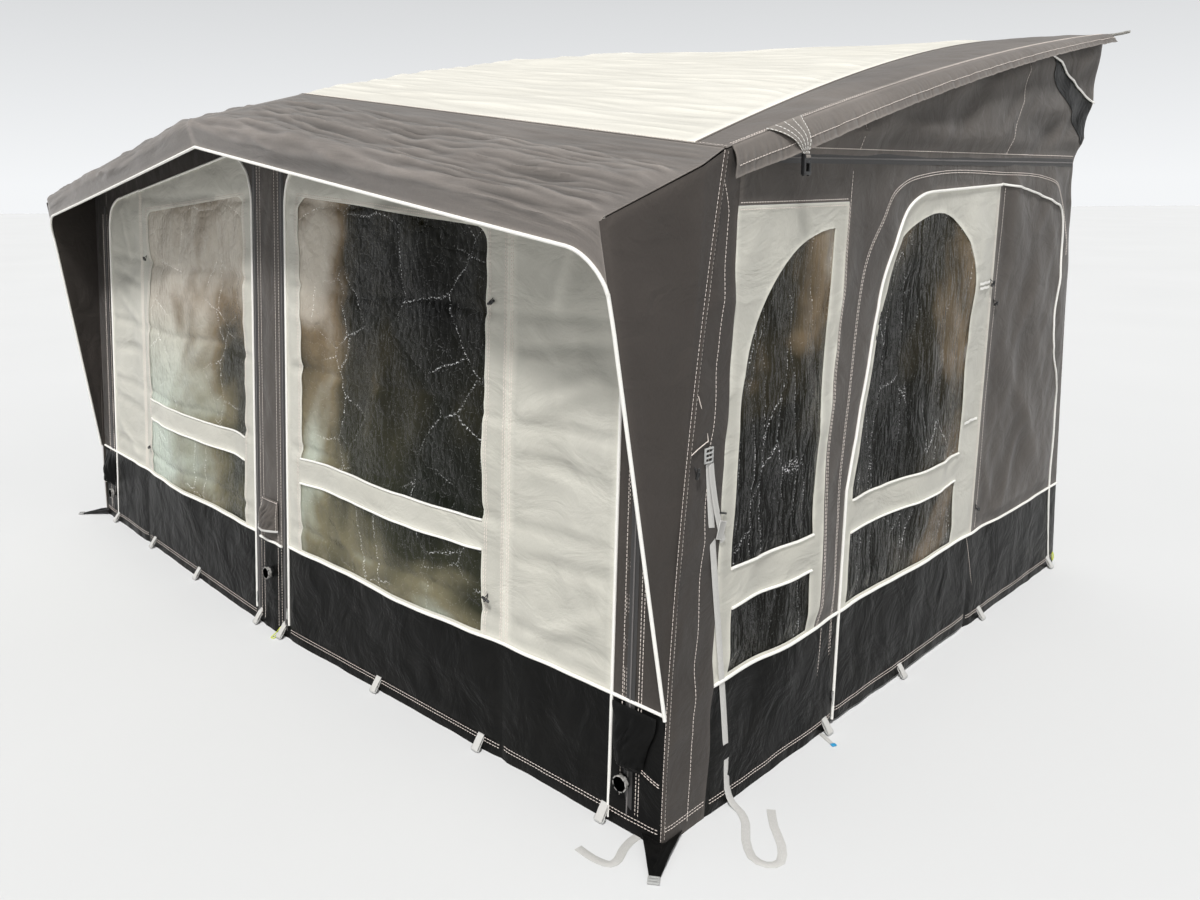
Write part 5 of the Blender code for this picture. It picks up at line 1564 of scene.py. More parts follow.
def wallLine():
    # the dark wall round the front panel and the door
    w, low, top, gutter = sideWall, shell["sideSkirt"] + edgeGap, shell["panelTop"], shell["gutter"]
    hinge = w["hinge"] + edgeGap
    line = [(w["rearLow"] + edgeGap, low), (w["rearHigh"] + edgeGap, top + edgeGap),
            (flapSide(top), top + edgeGap), (flapSide(top), gutter - edgeGap),
            (shell["rearGutter"], gutter - edgeGap), (rearY(low), low), (hinge, low),
            (hinge, w["topRear"] + edgeGap)]
    return line + list(reversed(doorEdge(edgeGap))) + [(w["doorFront"] - edgeGap, low)]


def makeSideFixed(hand, word):
    w, relief, seed = sideWall, partial(sideRelief, hand=hand), 100 + 5 * hand
    skirt, top, lap = shell["sideSkirt"], shell["panelTop"], frontWall["lap"]
    low = skirt + edgeGap
    upper, lower = sideWindow()
    panel = [(flapSide(low), low), (w["rearLow"] - edgeGap, low), (w["rearHigh"] - edgeGap, top - edgeGap),
             (flapSide(top), top - edgeGap)]
    sheet = cutSheet("side_panel_cloth_" + word, [panel, upper, lower], side, relief, sideOut, "light",
                     w["pitch"], hand)
    hung(sheet, "shelter", "side_panel_" + word)
    near, far = w["windowRear"]
    pane = [(w["windowFront"] - lap, low), (near + lap, low), (far + lap, w["windowTop"] + lap)]
    pane += [(u - lap, v + lap) for u, v in reversed(upper[1:-2])]
    hungVinyl("side_vinyl_" + word, "shelter", "side_window_" + word, pane, side,
              behind(relief, low, 1.64, 0.28, 0.74, seed), sideOut, "clearSide", hand)
    sheet = cutSheet("side_wall_cloth_" + word, [wallLine()], side, relief, sideOut, "wall", w["pitch"], hand)
    hung(sheet, "shelter", "side_wall_" + word)
    hinge = w["hinge"] + edgeGap
    hungSkirt("side_skirt_cloth_" + word, "shelter", ["side_skirt_" + word], side, flapSide,
              always(w["doorFront"] - edgeGap), 0.0, skirt - edgeGap, sideOut, hand, seed)
    hungSkirt("rear_skirt_cloth_" + word, "shelter", ["rear_skirt_" + word], side, always(hinge), rearY,
              0.0, skirt - edgeGap, sideOut, hand, seed + 3)
    lines = [levelLine(flapSide(low) + 0.002, w["doorFront"] - 0.004, skirt),
             levelLine(hinge, rearY(low), skirt)]
    sidePiping(("side_skirt_piping_" + word, "side_bar_piping_" + word), lines, (w["barHigh"], w["barLow"]),
               (w["windowFront"], mix(near, far, w["barEnd"])), relief, hand, "shelter", 0.0042)


sideSeams = {
    "arch": [(0.845, 0.05), (0.845, 0.80), (0.867, 1.10), (0.905, 1.47), (0.993, 1.65), (1.108, 1.755),
             (1.42, 1.796), (1.87, 1.792), (2.31, 1.773), (2.52, 1.68), (2.60, 1.45)],
    "rearPiping": [(1.905, 1.753), (2.187, 1.72), (2.40, 1.675), (2.469, 1.66), (2.503, 1.62), (2.53, 1.50),
                   (2.52, 1.30), (2.541, 1.09), (2.62, 0.92), (2.674, 0.81), (2.700, 0.60), (2.722, 0.40),
                   (2.76, 0.20), (2.80, 0.04)],
    "panelTop": [(0.25, 1.718), (0.79, 1.718)],
    "pole": [[(0.808, 1.80), (0.745, 0.40)], [(0.735, 0.40), (0.798, 1.70)], [(0.775, 0.38), (0.765, 0.04)]],
    "rear": [[(1.93, 1.74), (1.93, 0.41)], [(1.862, 0.385), (1.935, 0.20), (2.012, 0.035)]],
    "out": 0.0012, "topRows": 0.018, "steps": 8, "piping": 0.0045, "pipingOut": 0.004,
}


def curved(line):
    spots = smoothLine([(u, v, 0) for u, v in line], sideSeams["steps"])
    return [(spot.x, spot.y) for spot in spots]


def makeSideTrim(hand, word):
    s, relief = sideSeams, partial(sideRelief, hand=hand)
    lines = twoRows(curved(s["arch"])) + [s["panelTop"], besides(s["panelTop"], -s["topRows"])]
    threads("side_thread_" + word, lines + s["pole"] + s["rear"], side, relief, sideOut, hand, out=s["out"])
    line = onWall(denser(curved(s["rearPiping"]), trim["round"]), side, relief, 0.0)
    piping("side_rear_piping_" + word, [moved(line, s["pipingOut"], 0, 0)], hand, radius=s["piping"])


# Skirt hems and pegs

pegs = {
    "wide": 0.026, "low": 0.006, "high": 0.050, "out": 0.034, "ring": 0.0022, "thick": 0.0008,
    "ringWide": 0.017, "ringHigh": 0.009, "ringRound": 0.6,
    "front": [0.709, 1.242, 1.755, 0.095], "side": [0.831, 2.025, 2.782], "door": 1.345,
}


def pegLoop(shape, ringShape, place, spot, hand):
    # webbing sewn on at the top, folded out over a plastic ring and back
    low, high, out = pegs["low"], pegs["high"], pegs["out"]
    heights = ((high + 0.012, 0.0025), (high, 0.004), (0.030, out * 0.55), (low + 0.005, out - 0.004),
               (low, out - 0.001), (low + 0.001, out - 0.010), (0.020, out * 0.45), (0.040, 0.004))
    line = smoothLine([place(spot, height, away) for height, away in heights], 4)
    line = [mirrored(point, hand) for point in line]
    near, far = (mirrored(place(spot + step, 0.03), hand) for step in (-0.01, 0.01))
    across = (far - near).normalized()
    half, rings = pegs["wide"] / 2, []
    for index, point in enumerate(line):
        before, after = around(line, index)
        normal = (after - before).normalized().cross(across) * pegs["thick"]
        corners = ((-1, -1), (1, -1), (1, 1), (-1, 1))
        rings.append([shape.verts.new(point + across * (half * a) + normal * b) for a, b in corners])
    skinned(shape, rings)
    hub = mirrored(place(spot, low + 0.004, out - 0.006), hand)
    tall = (mirrored(place(spot, 0.04, 0.0), hand) - hub).normalized()
    loop = []
    for step in range(25):
        angle, power = 2 * pi * step / 24, pegs["ringRound"]
        x, y = (abs(share) ** power * (1 if share > 0 else -1) for share in (cos(angle), sin(angle)))
        loop.append(hub + across * (pegs["ringWide"] * x) + tall * (pegs["ringHigh"] * y))
    addTube(ringShape, loop, pegs["ring"], 8)


def makePegs(hand, word):
    wall = [(front, x) for x in pegs["front"]] + [(side, y) for y in pegs["side"]]
    door = "side_door_" + word
    for body, name, spots in (("shelter", "wall_" + word, wall), (door, door, [(side, pegs["door"])])):
        loops, rings = bmesh.new(), bmesh.new()
        for place, spot in spots:
            pegLoop(loops, rings, place, spot, hand)
        carried(closed("peg_webbing_" + name, loops, "webbing", 50), body)
        carried(closed("peg_rings_" + name, rings, "grey", 50), body)


hems = {"low": 0.045, "sill": 0.039, "door": 0.057, "rows": 0.010}


def makeHems(hand, word):
    # seams along the skirts, which follow the folds of each
    low, w, hinge = hems["low"], sideWall, shell["hinge"]
    high, far = shell["sideSkirt"] - edgeGap, always(sideWall["hinge"])
    number, door = "hem_thread_" + word + "_%d", "side_door_" + word
    rows = (
        (number % 0, "shelter", front, (hinge + 0.01, cornerEdge(low) - 0.01), low,
         (0.0, shell["frontSkirt"] - edgeGap), always(hinge), cornerEdge, 50),
        (number % 1, "shelter", front, (0.135, 1.32), hems["sill"],
         (0.0, shell["threshold"] - edgeGap), always(shell["columnHalf"]), always(hinge), 52),
        (number % 2, "shelter", side, (0.22, 0.875), low, (0.0, high), flapEdge, always(w["doorFront"]), 100),
        (number % 3, "shelter", side, (1.91, rearY(low) - 0.01), low, (0.0, high), far, rearY, 103),
        ("hem_thread_door_" + word, door, side, (0.895, 1.89), hems["door"],
         (shell["groundGap"], high), always(w["doorFront"]), far, 80),
    )
    for name, body, place, ends, height, (foot, top), start, end, seed in rows:
        def relief(u, z):
            return skirtRelief(u, z, foot, top, start(z), end(z), seed + 5 * hand)

        line = [(ends[0], height), (ends[1], height)]
        facing = frontOut if place is front else sideOut
        threads(name, [line, besides(line, -hems["rows"])], place, relief, facing, hand, body, "black_skirt")


bothHands(makeSideDoor, makeSideFixed, makeSideTrim, makePegs, makeHems)
print("side walls, hems and pegs hung")


# Air beams, their sleeves, and the rail bead

beams = {
    "radius": 0.045, "sides": 32, "knee": 0.16, "end": 2.85, "clearance": 0.005, "probe": 0.004,
    "legSteps": 40, "kneeSteps": 16, "runSteps": 60, "side": 1.00037, "front": 1.00162, "header": 1.0277,
    "wave": 0.0006,
}


def beamX(z, central):
    return 0 if central else sideX(z) - shell["cloth"] - shell["seam"] - beams["radius"] * beams["side"]


def beamRoute(central):
    # up the leg, round the knee and back under the roof
    reach = beams["radius"] * beams["front"] + shell["cloth"] + shell["seam"]

    def legY(z):
        return front(beamX(z, central), z).y + reach

    def runZ(y):
        half, probe = beamX(edgeZ(y), central), beams["probe"]
        slope = (roofZ(half, y + probe) - roofZ(half, y - probe)) / (2 * probe)
        fall = (ridgeZ(y) - edgeZ(y)) / roofHalf(y)
        away = (beams["radius"] + shell["cloth"]) * sqrt(1 + slope ** 2 + fall ** 2)
        return roofZ(half, y) - away - beams["clearance"]

    kneeY = legY(runZ(shell["junction"])) + beams["knee"]
    cornerY = legY(runZ(kneeY))
    cornerZ, kneeZ = runZ(cornerY), runZ(kneeY)
    footZ = cornerZ - beams["knee"]
    heights = [mix(0, footZ, step / beams["legSteps"]) for step in range(beams["legSteps"])]
    route = [(legY(z), z) for z in heights]
    for step in range(beams["kneeSteps"] + 1):
        share = step / beams["kneeSteps"]
        a = (mix(legY(footZ), cornerY, share), mix(footZ, cornerZ, share))
        b = (mix(cornerY, kneeY, share), mix(cornerZ, kneeZ, share))
        route.append((mix(a[0], b[0], share), mix(a[1], b[1], share)))
    for step in range(1, beams["runSteps"] + 1):
        y = mix(kneeY, beams["end"], step / beams["runSteps"])
        route.append((y, runZ(y)))
    return [Vector((beamX(z, central), y, z)) for y, z in route]


def makeBeam(name, route, node, hand=1):
    # an inflated sleeve with faint waves, flat at its foot
    shape = bmesh.new()
    layer = shape.loops.layers.uv.new("cut")
    rings, walked, count, radius = [], [0.0], beams["sides"], beams["radius"]
    lying = abs((route[-1] - route[0]).normalized().x) > 0.9
    across = Vector((0, 0, 1)) if lying else Vector((1, 0, 0))
    for index, point in enumerate(route):
        before, after = around(route, index)
        along = (after - before).normalized()
        flat = (across - along * across.dot(along)).normalized()
        other = along.cross(flat)
        walked.append(walked[-1] + (point - before).length)
        ring = []
        for step in range(count):
            angle = 2 * pi * step / count
            size = radius - beams["wave"] + beams["wave"] * swell(walked[-1], angle, 0.09, 4.0, 3)
            spot = point + flat * (size * cos(angle)) + other * (size * sin(angle))
            spot.z = max(spot.z, 0.0) if index else 0.0
            ring.append(shape.verts.new(mirrored(spot, hand)))
        rings.append(ring)
    skinned(shape, rings, layer, lambda step: step / count * 2 * pi * radius, walked[1:])
    carried(closed(name, shape, "tube", 60), "shelter", node)


def makeBeams():
    central, outer = beamRoute(True), beamRoute(False)
    makeBeam("air_beam_sleeve_center", central, "air_beam_center")
    knee = beams["legSteps"] + beams["kneeSteps"] // 2
    away = Vector((beams["radius"] * beams["header"] + shell["seam"], 0, 0))
    start, end = central[knee] + away, outer[knee] - away
    header = [start.lerp(end, step / 40) for step in range(41)]
    for hand, word in hands:
        makeBeam("air_beam_sleeve_" + word, outer, "air_beam_" + word, hand)
        makeBeam("header_beam_sleeve_" + word, header, "header_beam_" + word, hand)


bead = {
    "radius": 0.0058, "tape": 0.028, "thick": 0.0016, "tail": 2.090, "inset": 0.0010, "low": 0.002,
    "wave": 0.0012, "lift": 0.10, "liftFrom": 2.03, "steps": 160,
}


def makeBead():
    # a round cord in a fold of tape, whose two tails stand free of the roof
    shape, depth, radius, thick = bmesh.new(), shell["depth"], bead["radius"], bead["thick"]
    back = depth + bead["tape"] + radius
    neck = atan2(thick, radius)
    section = [(depth + bead["inset"], thick), (depth + bead["inset"], -thick)]
    for step in range(15):
        angle = mix(-pi + neck, pi - neck, step / 14)
        section.append((back + radius * cos(angle), radius * sin(angle)))
    rings = []
    for step in range(bead["steps"] + 1):
        x = mix(-bead["tail"], bead["tail"], step / bead["steps"])
        inside = max(-roofHalf(depth), min(roofHalf(depth), x))
        height = roofZ(inside, depth) - bead["low"] + bead["wave"] * swell(x, 0, 0.10, 1, 4)
        height += bead["lift"] * max(0, abs(x) - bead["liftFrom"]) * (abs(x) - bead["liftFrom"]) / 0.06
        rings.append([shape.verts.new((x, y, height + lift)) for y, lift in section])
    skinned(shape, rings)
    carried(closed("rail_bead_cord", shape, "bead", 40), "shelter", "rail_bead")


makeBeams()
makeBead()
print("air beams and bead laid")


# Small fittings. Each is shaped flat, x along the wall, y up it and z outwards, then set on its wall.

def sized(name, size, spot):
    piece = bpy.context.active_object
    piece.name = piece.data.name = name
    for corner in piece.data.vertices:
        corner.co = [corner.co[axis] * size[axis] + spot[axis] for axis in range(3)]
    return piece


def block(name, size, spot=(0, 0, 0)):
    bpy.ops.object.select_all(action="DESELECT")
    bpy.ops.mesh.primitive_cube_add(size=1, location=(0, 0, 0))
    return sized(name, size, spot)


def barrel(name, radius, deep, sides, spot=(0, 0, 0), lying=False):
    bpy.ops.object.select_all(action="DESELECT")
    bpy.ops.mesh.primitive_cylinder_add(vertices=sides, radius=radius, depth=deep, location=(0, 0, 0))
    piece = sized(name, (1, 1, 1), (0, 0, 0))
    for corner in piece.data.vertices:
        x, y, z = corner.co
        corner.co = Vector((z, x, y) if lying else (x, y, z)) + Vector(spot)
    return piece


def insetFaces(piece, test, *steps):
    # insets the faces that pass the test, by each step's width and depth
    alone(piece)
    bpy.ops.object.mode_set(mode="EDIT")
    bpy.ops.mesh.select_mode(type="FACE")
    bpy.ops.mesh.select_all(action="DESELECT")
    bpy.ops.object.mode_set(mode="OBJECT")
    for face in piece.data.polygons:
        face.select = test(face.center, face.normal)
    bpy.ops.object.mode_set(mode="EDIT")
    for wide, deep in steps:
        bpy.ops.mesh.inset(thickness=wide, depth=deep)
    bpy.ops.object.mode_set(mode="OBJECT")


def facingOut(centre, normal):
    return normal.z > 0.9


def cutAway(piece, *cutters):
    for cutter in cutters:
        hole = piece.modifiers.new("hole", "BOOLEAN")
        hole.object, hole.operation, hole.solver = cutter, "DIFFERENCE", "EXACT"
        applied(piece, hole)
        bpy.data.objects.remove(cutter, do_unlink=True)


def softened(piece, wide, segments=2):
    edge = piece.modifiers.new("edge", "BEVEL")
    edge.width, edge.segments, edge.limit_method, edge.angle_limit = wide, segments, "ANGLE", radians(35)
    applied(piece, edge)
    return piece


def together(first, *others):
    alone(first)
    for other in others:
        other.select_set(True)
    bpy.ops.object.join()
    return first


def fitted(piece, place, u, v, hand, material, body, *nodes, turn=0.0):
    # lays the flat piece on its wall, mirrored for the left, with its faces outwards
    step = 0.004
    start = place(u, v, 0.0)
    along = (place(u + step, v, 0.0) - place(u - step, v, 0.0)).normalized()
    up = (place(u, v + step, 0.0) - place(u, v - step, 0.0)).normalized()
    out = along.cross(up).normalized()
    c, n = cos(radians(turn)), sin(radians(turn))
    for corner in piece.data.vertices:
        x, y, z = corner.co
        spot = mirrored(start + along * (x * c - y * n) + up * (x * n + y * c) + out * z, hand)
        corner.co = (spot.x, spot.y - middle, spot.z)
    piece.data.materials.clear()
    piece.data.materials.append(finishes[material])
    alone(piece)
    bpy.ops.object.mode_set(mode="EDIT")
    bpy.ops.mesh.select_all(action="SELECT")
    bpy.ops.mesh.normals_make_consistent(inside=False)
    bpy.ops.object.mode_set(mode="OBJECT")
    carried(smoothed(piece, 35), body, *nodes)


valve = {
    "places": (("right", 1.82, 0.14, 1), ("left", 1.82, 0.14, -1), ("center", 0.0, 0.24, 1)),
    "stand": 0.0124, "cap": 0.0198, "deep": 0.0124, "sides": 48, "lugs": 8, "lug": (0.00025, 0.0018),
    "face": ((0.0035, 0.0), (0.0008, -0.0020), (0.0055, 0.0), (0.0008, 0.0016), (0.0030, -0.0008)),
    "stub": (0.0155, 0.016, 32, (0, 0, 0.004)), "flange": (0.0205, 0.004, 40, (0, 0, 0.0068)),
    "lip": ((0.003, 0.0), (0.001, -0.0008)), "edge": 0.0006,
}


def onLug(centre, normal):
    part = valve["sides"] // valve["lugs"]
    share = (atan2(centre.y, centre.x) / (2 * pi) * valve["sides"]) % part
    return abs(normal.z) < 0.5 and share < part / 2


def makeValves():
    for word, x, z, hand in valve["places"]:
        name = "valve_cap_" + word
        cap = barrel("valve_cap_shell_" + word, valve["cap"], valve["deep"], valve["sides"],
                     (0, 0, valve["stand"] + valve["deep"] / 2))
        insetFaces(cap, onLug, valve["lug"])
        insetFaces(cap, facingOut, *valve["face"])
        fitted(softened(cap, valve["edge"]), front, x, z, hand, "white", name, name)
        stub = barrel("valve_stub_" + word, *valve["stub"])
        flange = barrel("valve_flange", *valve["flange"])
        insetFaces(flange, facingOut, *valve["lip"])
        fitted(softened(together(stub, flange), valve["edge"]), front, x, z, hand, "black", "shelter")


slider = {
    "height": 0.10, "wide": 0.012, "long": 0.022, "thick": 0.0056, "waist": 0.7, "stand": 0.0008,
    "inset": 0.0009, "face": ((0.0022, 0.0), (0.0006, 0.0010)),
    "pull": (0.0066, 0.031, 0.0022), "pullAt": 0.0074,
    "hole": (0.0033, 0.006, 0.02), "holeAt": 0.0145, "grip": (0.0012, -0.0005), "gripEnd": 0.010,
    "bridge": (0.0011, 0.0044, 12, (0, 0.0150, 0.0080), True),
}


def onGrip(centre, normal):
    return abs(normal.z) > 0.9 and centre.y < slider["gripEnd"]


def makeSliders():
    wide, long, thick = slider["wide"], slider["long"], slider["thick"]
    places = (("front", front, shell["columnHalf"] - wide / 2),
              ("side", side, sideWall["doorFront"] - wide / 2 - slider["inset"]))
    for kind, place, spot in places:
        for hand, word in hands:
            name, height = "zip_slider_%s_%s" % (kind, word), slider["height"]
            body = block(name + "_body", (wide, long, thick), (0, long / 2, slider["stand"] + thick / 2))
            for corner in body.data.vertices:
                if corner.co.y < 0.001:
                    corner.co.x *= slider["waist"]
            insetFaces(body, facingOut, *slider["face"])
            softened(body, 0.0010, 3)
            pullY, pullZ = (long - slider["pull"][1]) / 2 - 0.001, slider["pullAt"]
            pull = block(name + "_pull", slider["pull"], (0, pullY, pullZ))
            cutAway(pull, block("hole", slider["hole"], (0, slider["holeAt"], pullZ)))
            insetFaces(pull, onGrip, slider["grip"])
            softened(pull, 0.0005)
            bridge = barrel("bridge", *slider["bridge"])
            fitted(together(body, bridge), place, spot, height, hand, "metal", name, name)
            fitted(pull, place, spot, height, hand, "grey", name)


lock = {
    "place": 0.155, "height": 1.068, "wide": 0.036, "long": 0.042, "thick": 0.0048,
    "slot": (0.026, 0.0073, 0.02), "pitch": 0.01233, "bar": 0.0026, "barLong": 0.92, "barAt": 0.0036,
    "elastic": [(0.099, 1.234), (0.128, 1.166), (0.147, 1.112), (0.138, 1.105), (0.106, 1.094),
                (0.079, 1.083)],
    "doubled": [(0.164, 1.043), (0.172, 1.000), (0.190, 0.930), (0.207, 0.880), (0.232, 0.812)],
    "slide": ((0.031, 0.0055, 0.0034), (0, 0.036, 0.0056)), "slideAt": (0.214, 0.860),
    "keeper": ((0.030, 0.052, 0.0020), (0, 0, 0.0064)), "keeperAt": (0.219, 0.848), "turn": -18,
    "face": ((0.0025, 0.0), (0.0008, -0.0005)),
}


def makeLadderLock():
    wide, thick, pitch = lock["wide"], lock["thick"], lock["pitch"]
    body = block("ladder_lock_frame", (wide, lock["long"], thick), (0, 0, shell["seam"] + thick / 2))
    cutAway(body, *[block("slot", lock["slot"], (0, pitch * step, 0)) for step in (-1, 0, 1)])
    softened(body, 0.0009)
    bars = [barrel("bar", lock["bar"], wide * lock["barLong"], 16, (0, pitch * step, lock["barAt"]), True)
            for step in (-1.5, -0.5, 0.5, 1.5)]
    piece = together(body, *[softened(bar, 0.0006) for bar in bars])
    fitted(piece, side, lock["place"], lock["height"], 1, "grey", "ladder_lock", "ladder_lock")
    # its thin elastic, the doubled end of the strap and the slide on it
    line = [side(y, z, 0.004) for y, z in lock["elastic"]]
    tubePiece("lock_elastic", [smoothLine(line, 6)], 0.0014, "thread", slot="webbing")
    line = [side(y, z, 0.0042) for y, z in lock["doubled"]]
    tubePiece("strap_doubled_end", [smoothLine(line, 8)], 0.0122, "webbing", flat=0.07, up=sideOut)
    slide, keeper = block("strap_slide", *lock["slide"]), block("keeper", *lock["keeper"])
    insetFaces(keeper, facingOut, *lock["face"])
    fitted(softened(slide, 0.0008), side, *lock["slideAt"], 1, "black", "shelter", turn=lock["turn"])
    fitted(softened(keeper, 0.0006), side, *lock["keeperAt"], 1, "webbing", "shelter", turn=lock["turn"])


buckle = {
    "wide": 0.034, "long": 0.055, "thick": 0.0118, "waist": 0.92,
    "slot": (0.025, 0.006, 0.05), "mouth": (0.0187, 0.022, 0.05),
    "rib": (0.020, 0.0014, 0.0010), "ribAt": (0.0098, 0.003),
    "prong": (0.006, 0.016, 0.007), "prongAt": (0.0125, -0.0225),
    "tabTop": (0.348, 0.512), "tabHalf": 0.0118, "tabLong": 0.10, "tabThick": 0.0016,
    "rows": 20, "columns": 16,
    "loop": ((0.004, 0.001), (-0.008, 0.0072), (-0.0125, 0.0), (-0.008, -0.0072), (0.004, 0.001)),
}


def makeBuckle():
    low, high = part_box("buckle")
    x, y, z = ((a + b) / 2 for a, b in zip(low, high))
    y += middle
    wide, long, thick = buckle["wide"], buckle["long"], buckle["thick"]

    def hanging(across, height, out=0.0):
        return Vector((x + out, across, height))

    body = block("buckle_body", (wide, long, thick))
    for corner in body.data.vertices:
        if corner.co.y > 0:
            corner.co.x *= buckle["waist"]
    cutAway(body, block("slot", buckle["slot"], (0, long / 2 - 0.006, 0)),
            block("mouth", buckle["mouth"], (0, -buckle["mouth"][1] / 3, 0)))
    softened(body, 0.0016, 3)
    (first, pitch), (across, down) = buckle["ribAt"], buckle["prongAt"]
    for step in range(3):
        rib = block("rib", buckle["rib"], (0, first - pitch * step, thick / 2))
        together(body, softened(rib, 0.0003))
    for hand, _ in hands:
        together(body, softened(block("prong", buckle["prong"], (hand * across, down, 0)), 0.0014))
    fitted(body, hanging, y, z, 1, "black", "buckle", "buckle")
    # the sewn tab that carries it: wide along the edge seam, narrow at the buckle's bar
    near, far = buckle["tabTop"]

    def tabPoint(share, part):
        start = mix(near, y - buckle["tabHalf"], share ** 0.8)
        along = mix(start, mix(far, y + buckle["tabHalf"], share ** 0.6), part)
        tilt = atan2(sleeve["out"], sleeveDrop(along))
        upper = Vector((roofHalf(along) + shell["cloth"] * (cos(tilt) - 1), along, edgeZ(along) + 0.004))
        lower = Vector((x + 0.001, along, high[2] - 0.006))
        belly = 0.020 * sin(pi * min(1, share * 1.05)) + 0.001 * swell(along, share * 0.1, 0.02)
        return upper.lerp(lower, share) + Vector((belly, 0, 0.004))

    rows = grid(buckle["rows"], buckle["columns"], tabPoint)
    spots = [[(point.y, level / buckle["rows"] * buckle["tabLong"]) for point in row]
             for level, row in enumerate(rows)]
    tab = loftSheet("buckle_tab_cloth", rows, spots, (1, 0, 0.3), "taupe", 1, buckle["tabThick"])
    hung(tab, "shelter")
    lines = [moved([row[index] for row in rows], 0.0008, 0, 0.0003) for index in (0, 4, 8, 12, 16)]
    stitchPiece("buckle_tab_thread", lines, (1, 0, 0.5), slot="webbing", material="piping")
    loop = [hanging(y, high[2] + rise, out) for rise, out in buckle["loop"]]
    tubePiece("buckle_loop", [smoothLine(loop, 5)], buckle["tabHalf"], "taupe", flat=0.07, up=sideOut)


toggles = {
    "radius": 0.0042, "long": 0.030, "stand": 0.0125, "waist": (0.72, 0.3), "cord": 0.0013,
    "loop": [(0.016, 0.001), (0.010, 0.007), (0.003, 0.0185), (-0.006, 0.0165), (-0.003, 0.007),
             (0.013, 0.002)],
    "front": [(1.265, 1.42, 25), (1.262, 0.50, -20)], "door": [(1.874, 1.385, 35)],
    "wall": [(1.921, 1.306, 20), (1.921, 0.492, -15), (0.098, 1.032, 70)],
    "ties": [(1.735, 1.392, 1.866), (1.742, 1.374, 1.860), (1.735, 0.868, 1.862)],
    "tie": 0.0055, "tieFlat": 0.16, "tieSteps": 16,
}


def toggleAt(name, place, u, v, turn, hand, body):
    radius, long, stand = toggles["radius"], toggles["long"], (0, 0, toggles["stand"])
    pin = softened(barrel(name, radius, long, 16, stand, True), 0.0012)
    narrow, short = toggles["waist"]
    waist = barrel("waist", radius * narrow, long * short, 16, stand, True)
    fitted(together(pin, waist), place, u, v, hand, "black", body, turn=turn)
    line = [place(u, v + rise, out) for rise, out in toggles["loop"]]
    tubePiece(name + "_loop", [smoothLine(line, 4)], toggles["cord"], "black", hand, body)


def makeToggles(hand, word):
    door = "side_door_" + word
    kinds = (("front", front, "front_door_" + word), ("door", side, door), ("wall", side, "shelter"))
    for kind, place, body in kinds:
        for number, (u, v, turn) in enumerate(toggles[kind]):
            toggleAt("toggle_%s_%d_%s" % (kind, number, word), place, u, v, turn, hand, body)

    def wavy(y, z):
        return sideRelief(y, z, hand) + 0.003 + 0.002 * swell(y, z, 0.03)

    lines, steps = [], toggles["tieSteps"]
    for start, height, end in toggles["ties"]:
        spots = [(mix(start, end, step / steps), height + 0.004 * swell(step / 4, height, 1))
                 for step in range(steps + 1)]
        lines.append(onWall(spots, side, wavy, 0.0))
    tubePiece("window_ties_" + word, lines, toggles["tie"], "piping", hand, door, toggles["tieFlat"], sideOut)


pocketSheet = {
    "rows": 24, "columns": 28, "out": 0.009, "fold": 0.010, "drift": 0.006, "thick": 0.0014, "grown": 1.4,
}


def pocketPiece(name, values, material, hand=1):
    # a gathered hood over a valve
    def spot(share, across):
        start, end = (mix(a, b, ease(share)) for a, b in zip(values["top"], values["foot"]))
        return mix(start, end, across), mix(values["high"], values["low"], share)

    def puffed(share, across):
        x, z = spot(share, across)
        x += pocketSheet["drift"] * swell(share * 2, across, 0.5, 1, hand)
        tuck = 1 - values["tuck"] * ease((share - 0.86) / 0.14)
        belly = values["bulge"] * sin(pi * across) ** 0.7 * ease(share * 1.8) * tuck
        folds = ridge(across * 0.4 + share * 0.2, share * 0.3, 0.07, 1.8, 2 + hand) * sin(pi * across)
        return front(x, z, pocketSheet["out"] + belly + pocketSheet["fold"] * folds * ease(share * 3))

    rows, spots = (grid(pocketSheet["rows"], pocketSheet["columns"], make) for make in (puffed, spot))
    pocket = loftSheet(name, rows, spots, frontOut, material, hand, pocketSheet["thick"])
    hung(pocket, "shelter", held="gathered", grown=pocketSheet["grown"])
    return rows


columnPocket = {
    "top": (-0.058, 0.062), "foot": (-0.088, 0.064), "high": 0.540, "low": 0.422, "bulge": 0.024, "tuck": 0.0,
}


def makeColumnPocket():
    rows = pocketPiece("column_valve_pocket", columnPocket, "wall")
    mouth = moved(rows[-1], 0, 0, -0.001)
    tubePiece("column_pocket_hem", [mouth], 0.0045, "webbing", flat=0.5, up=frontOut)
    edges = [moved([row[index] for row in rows], 0, -0.0012, 0) for index in (1, pocketSheet["columns"] - 1)]
    edges.append(moved(rows[0], 0, -0.0015, -0.006))
    stitchPiece("column_pocket_thread", edges, frontOut, slot="dark_fabric")


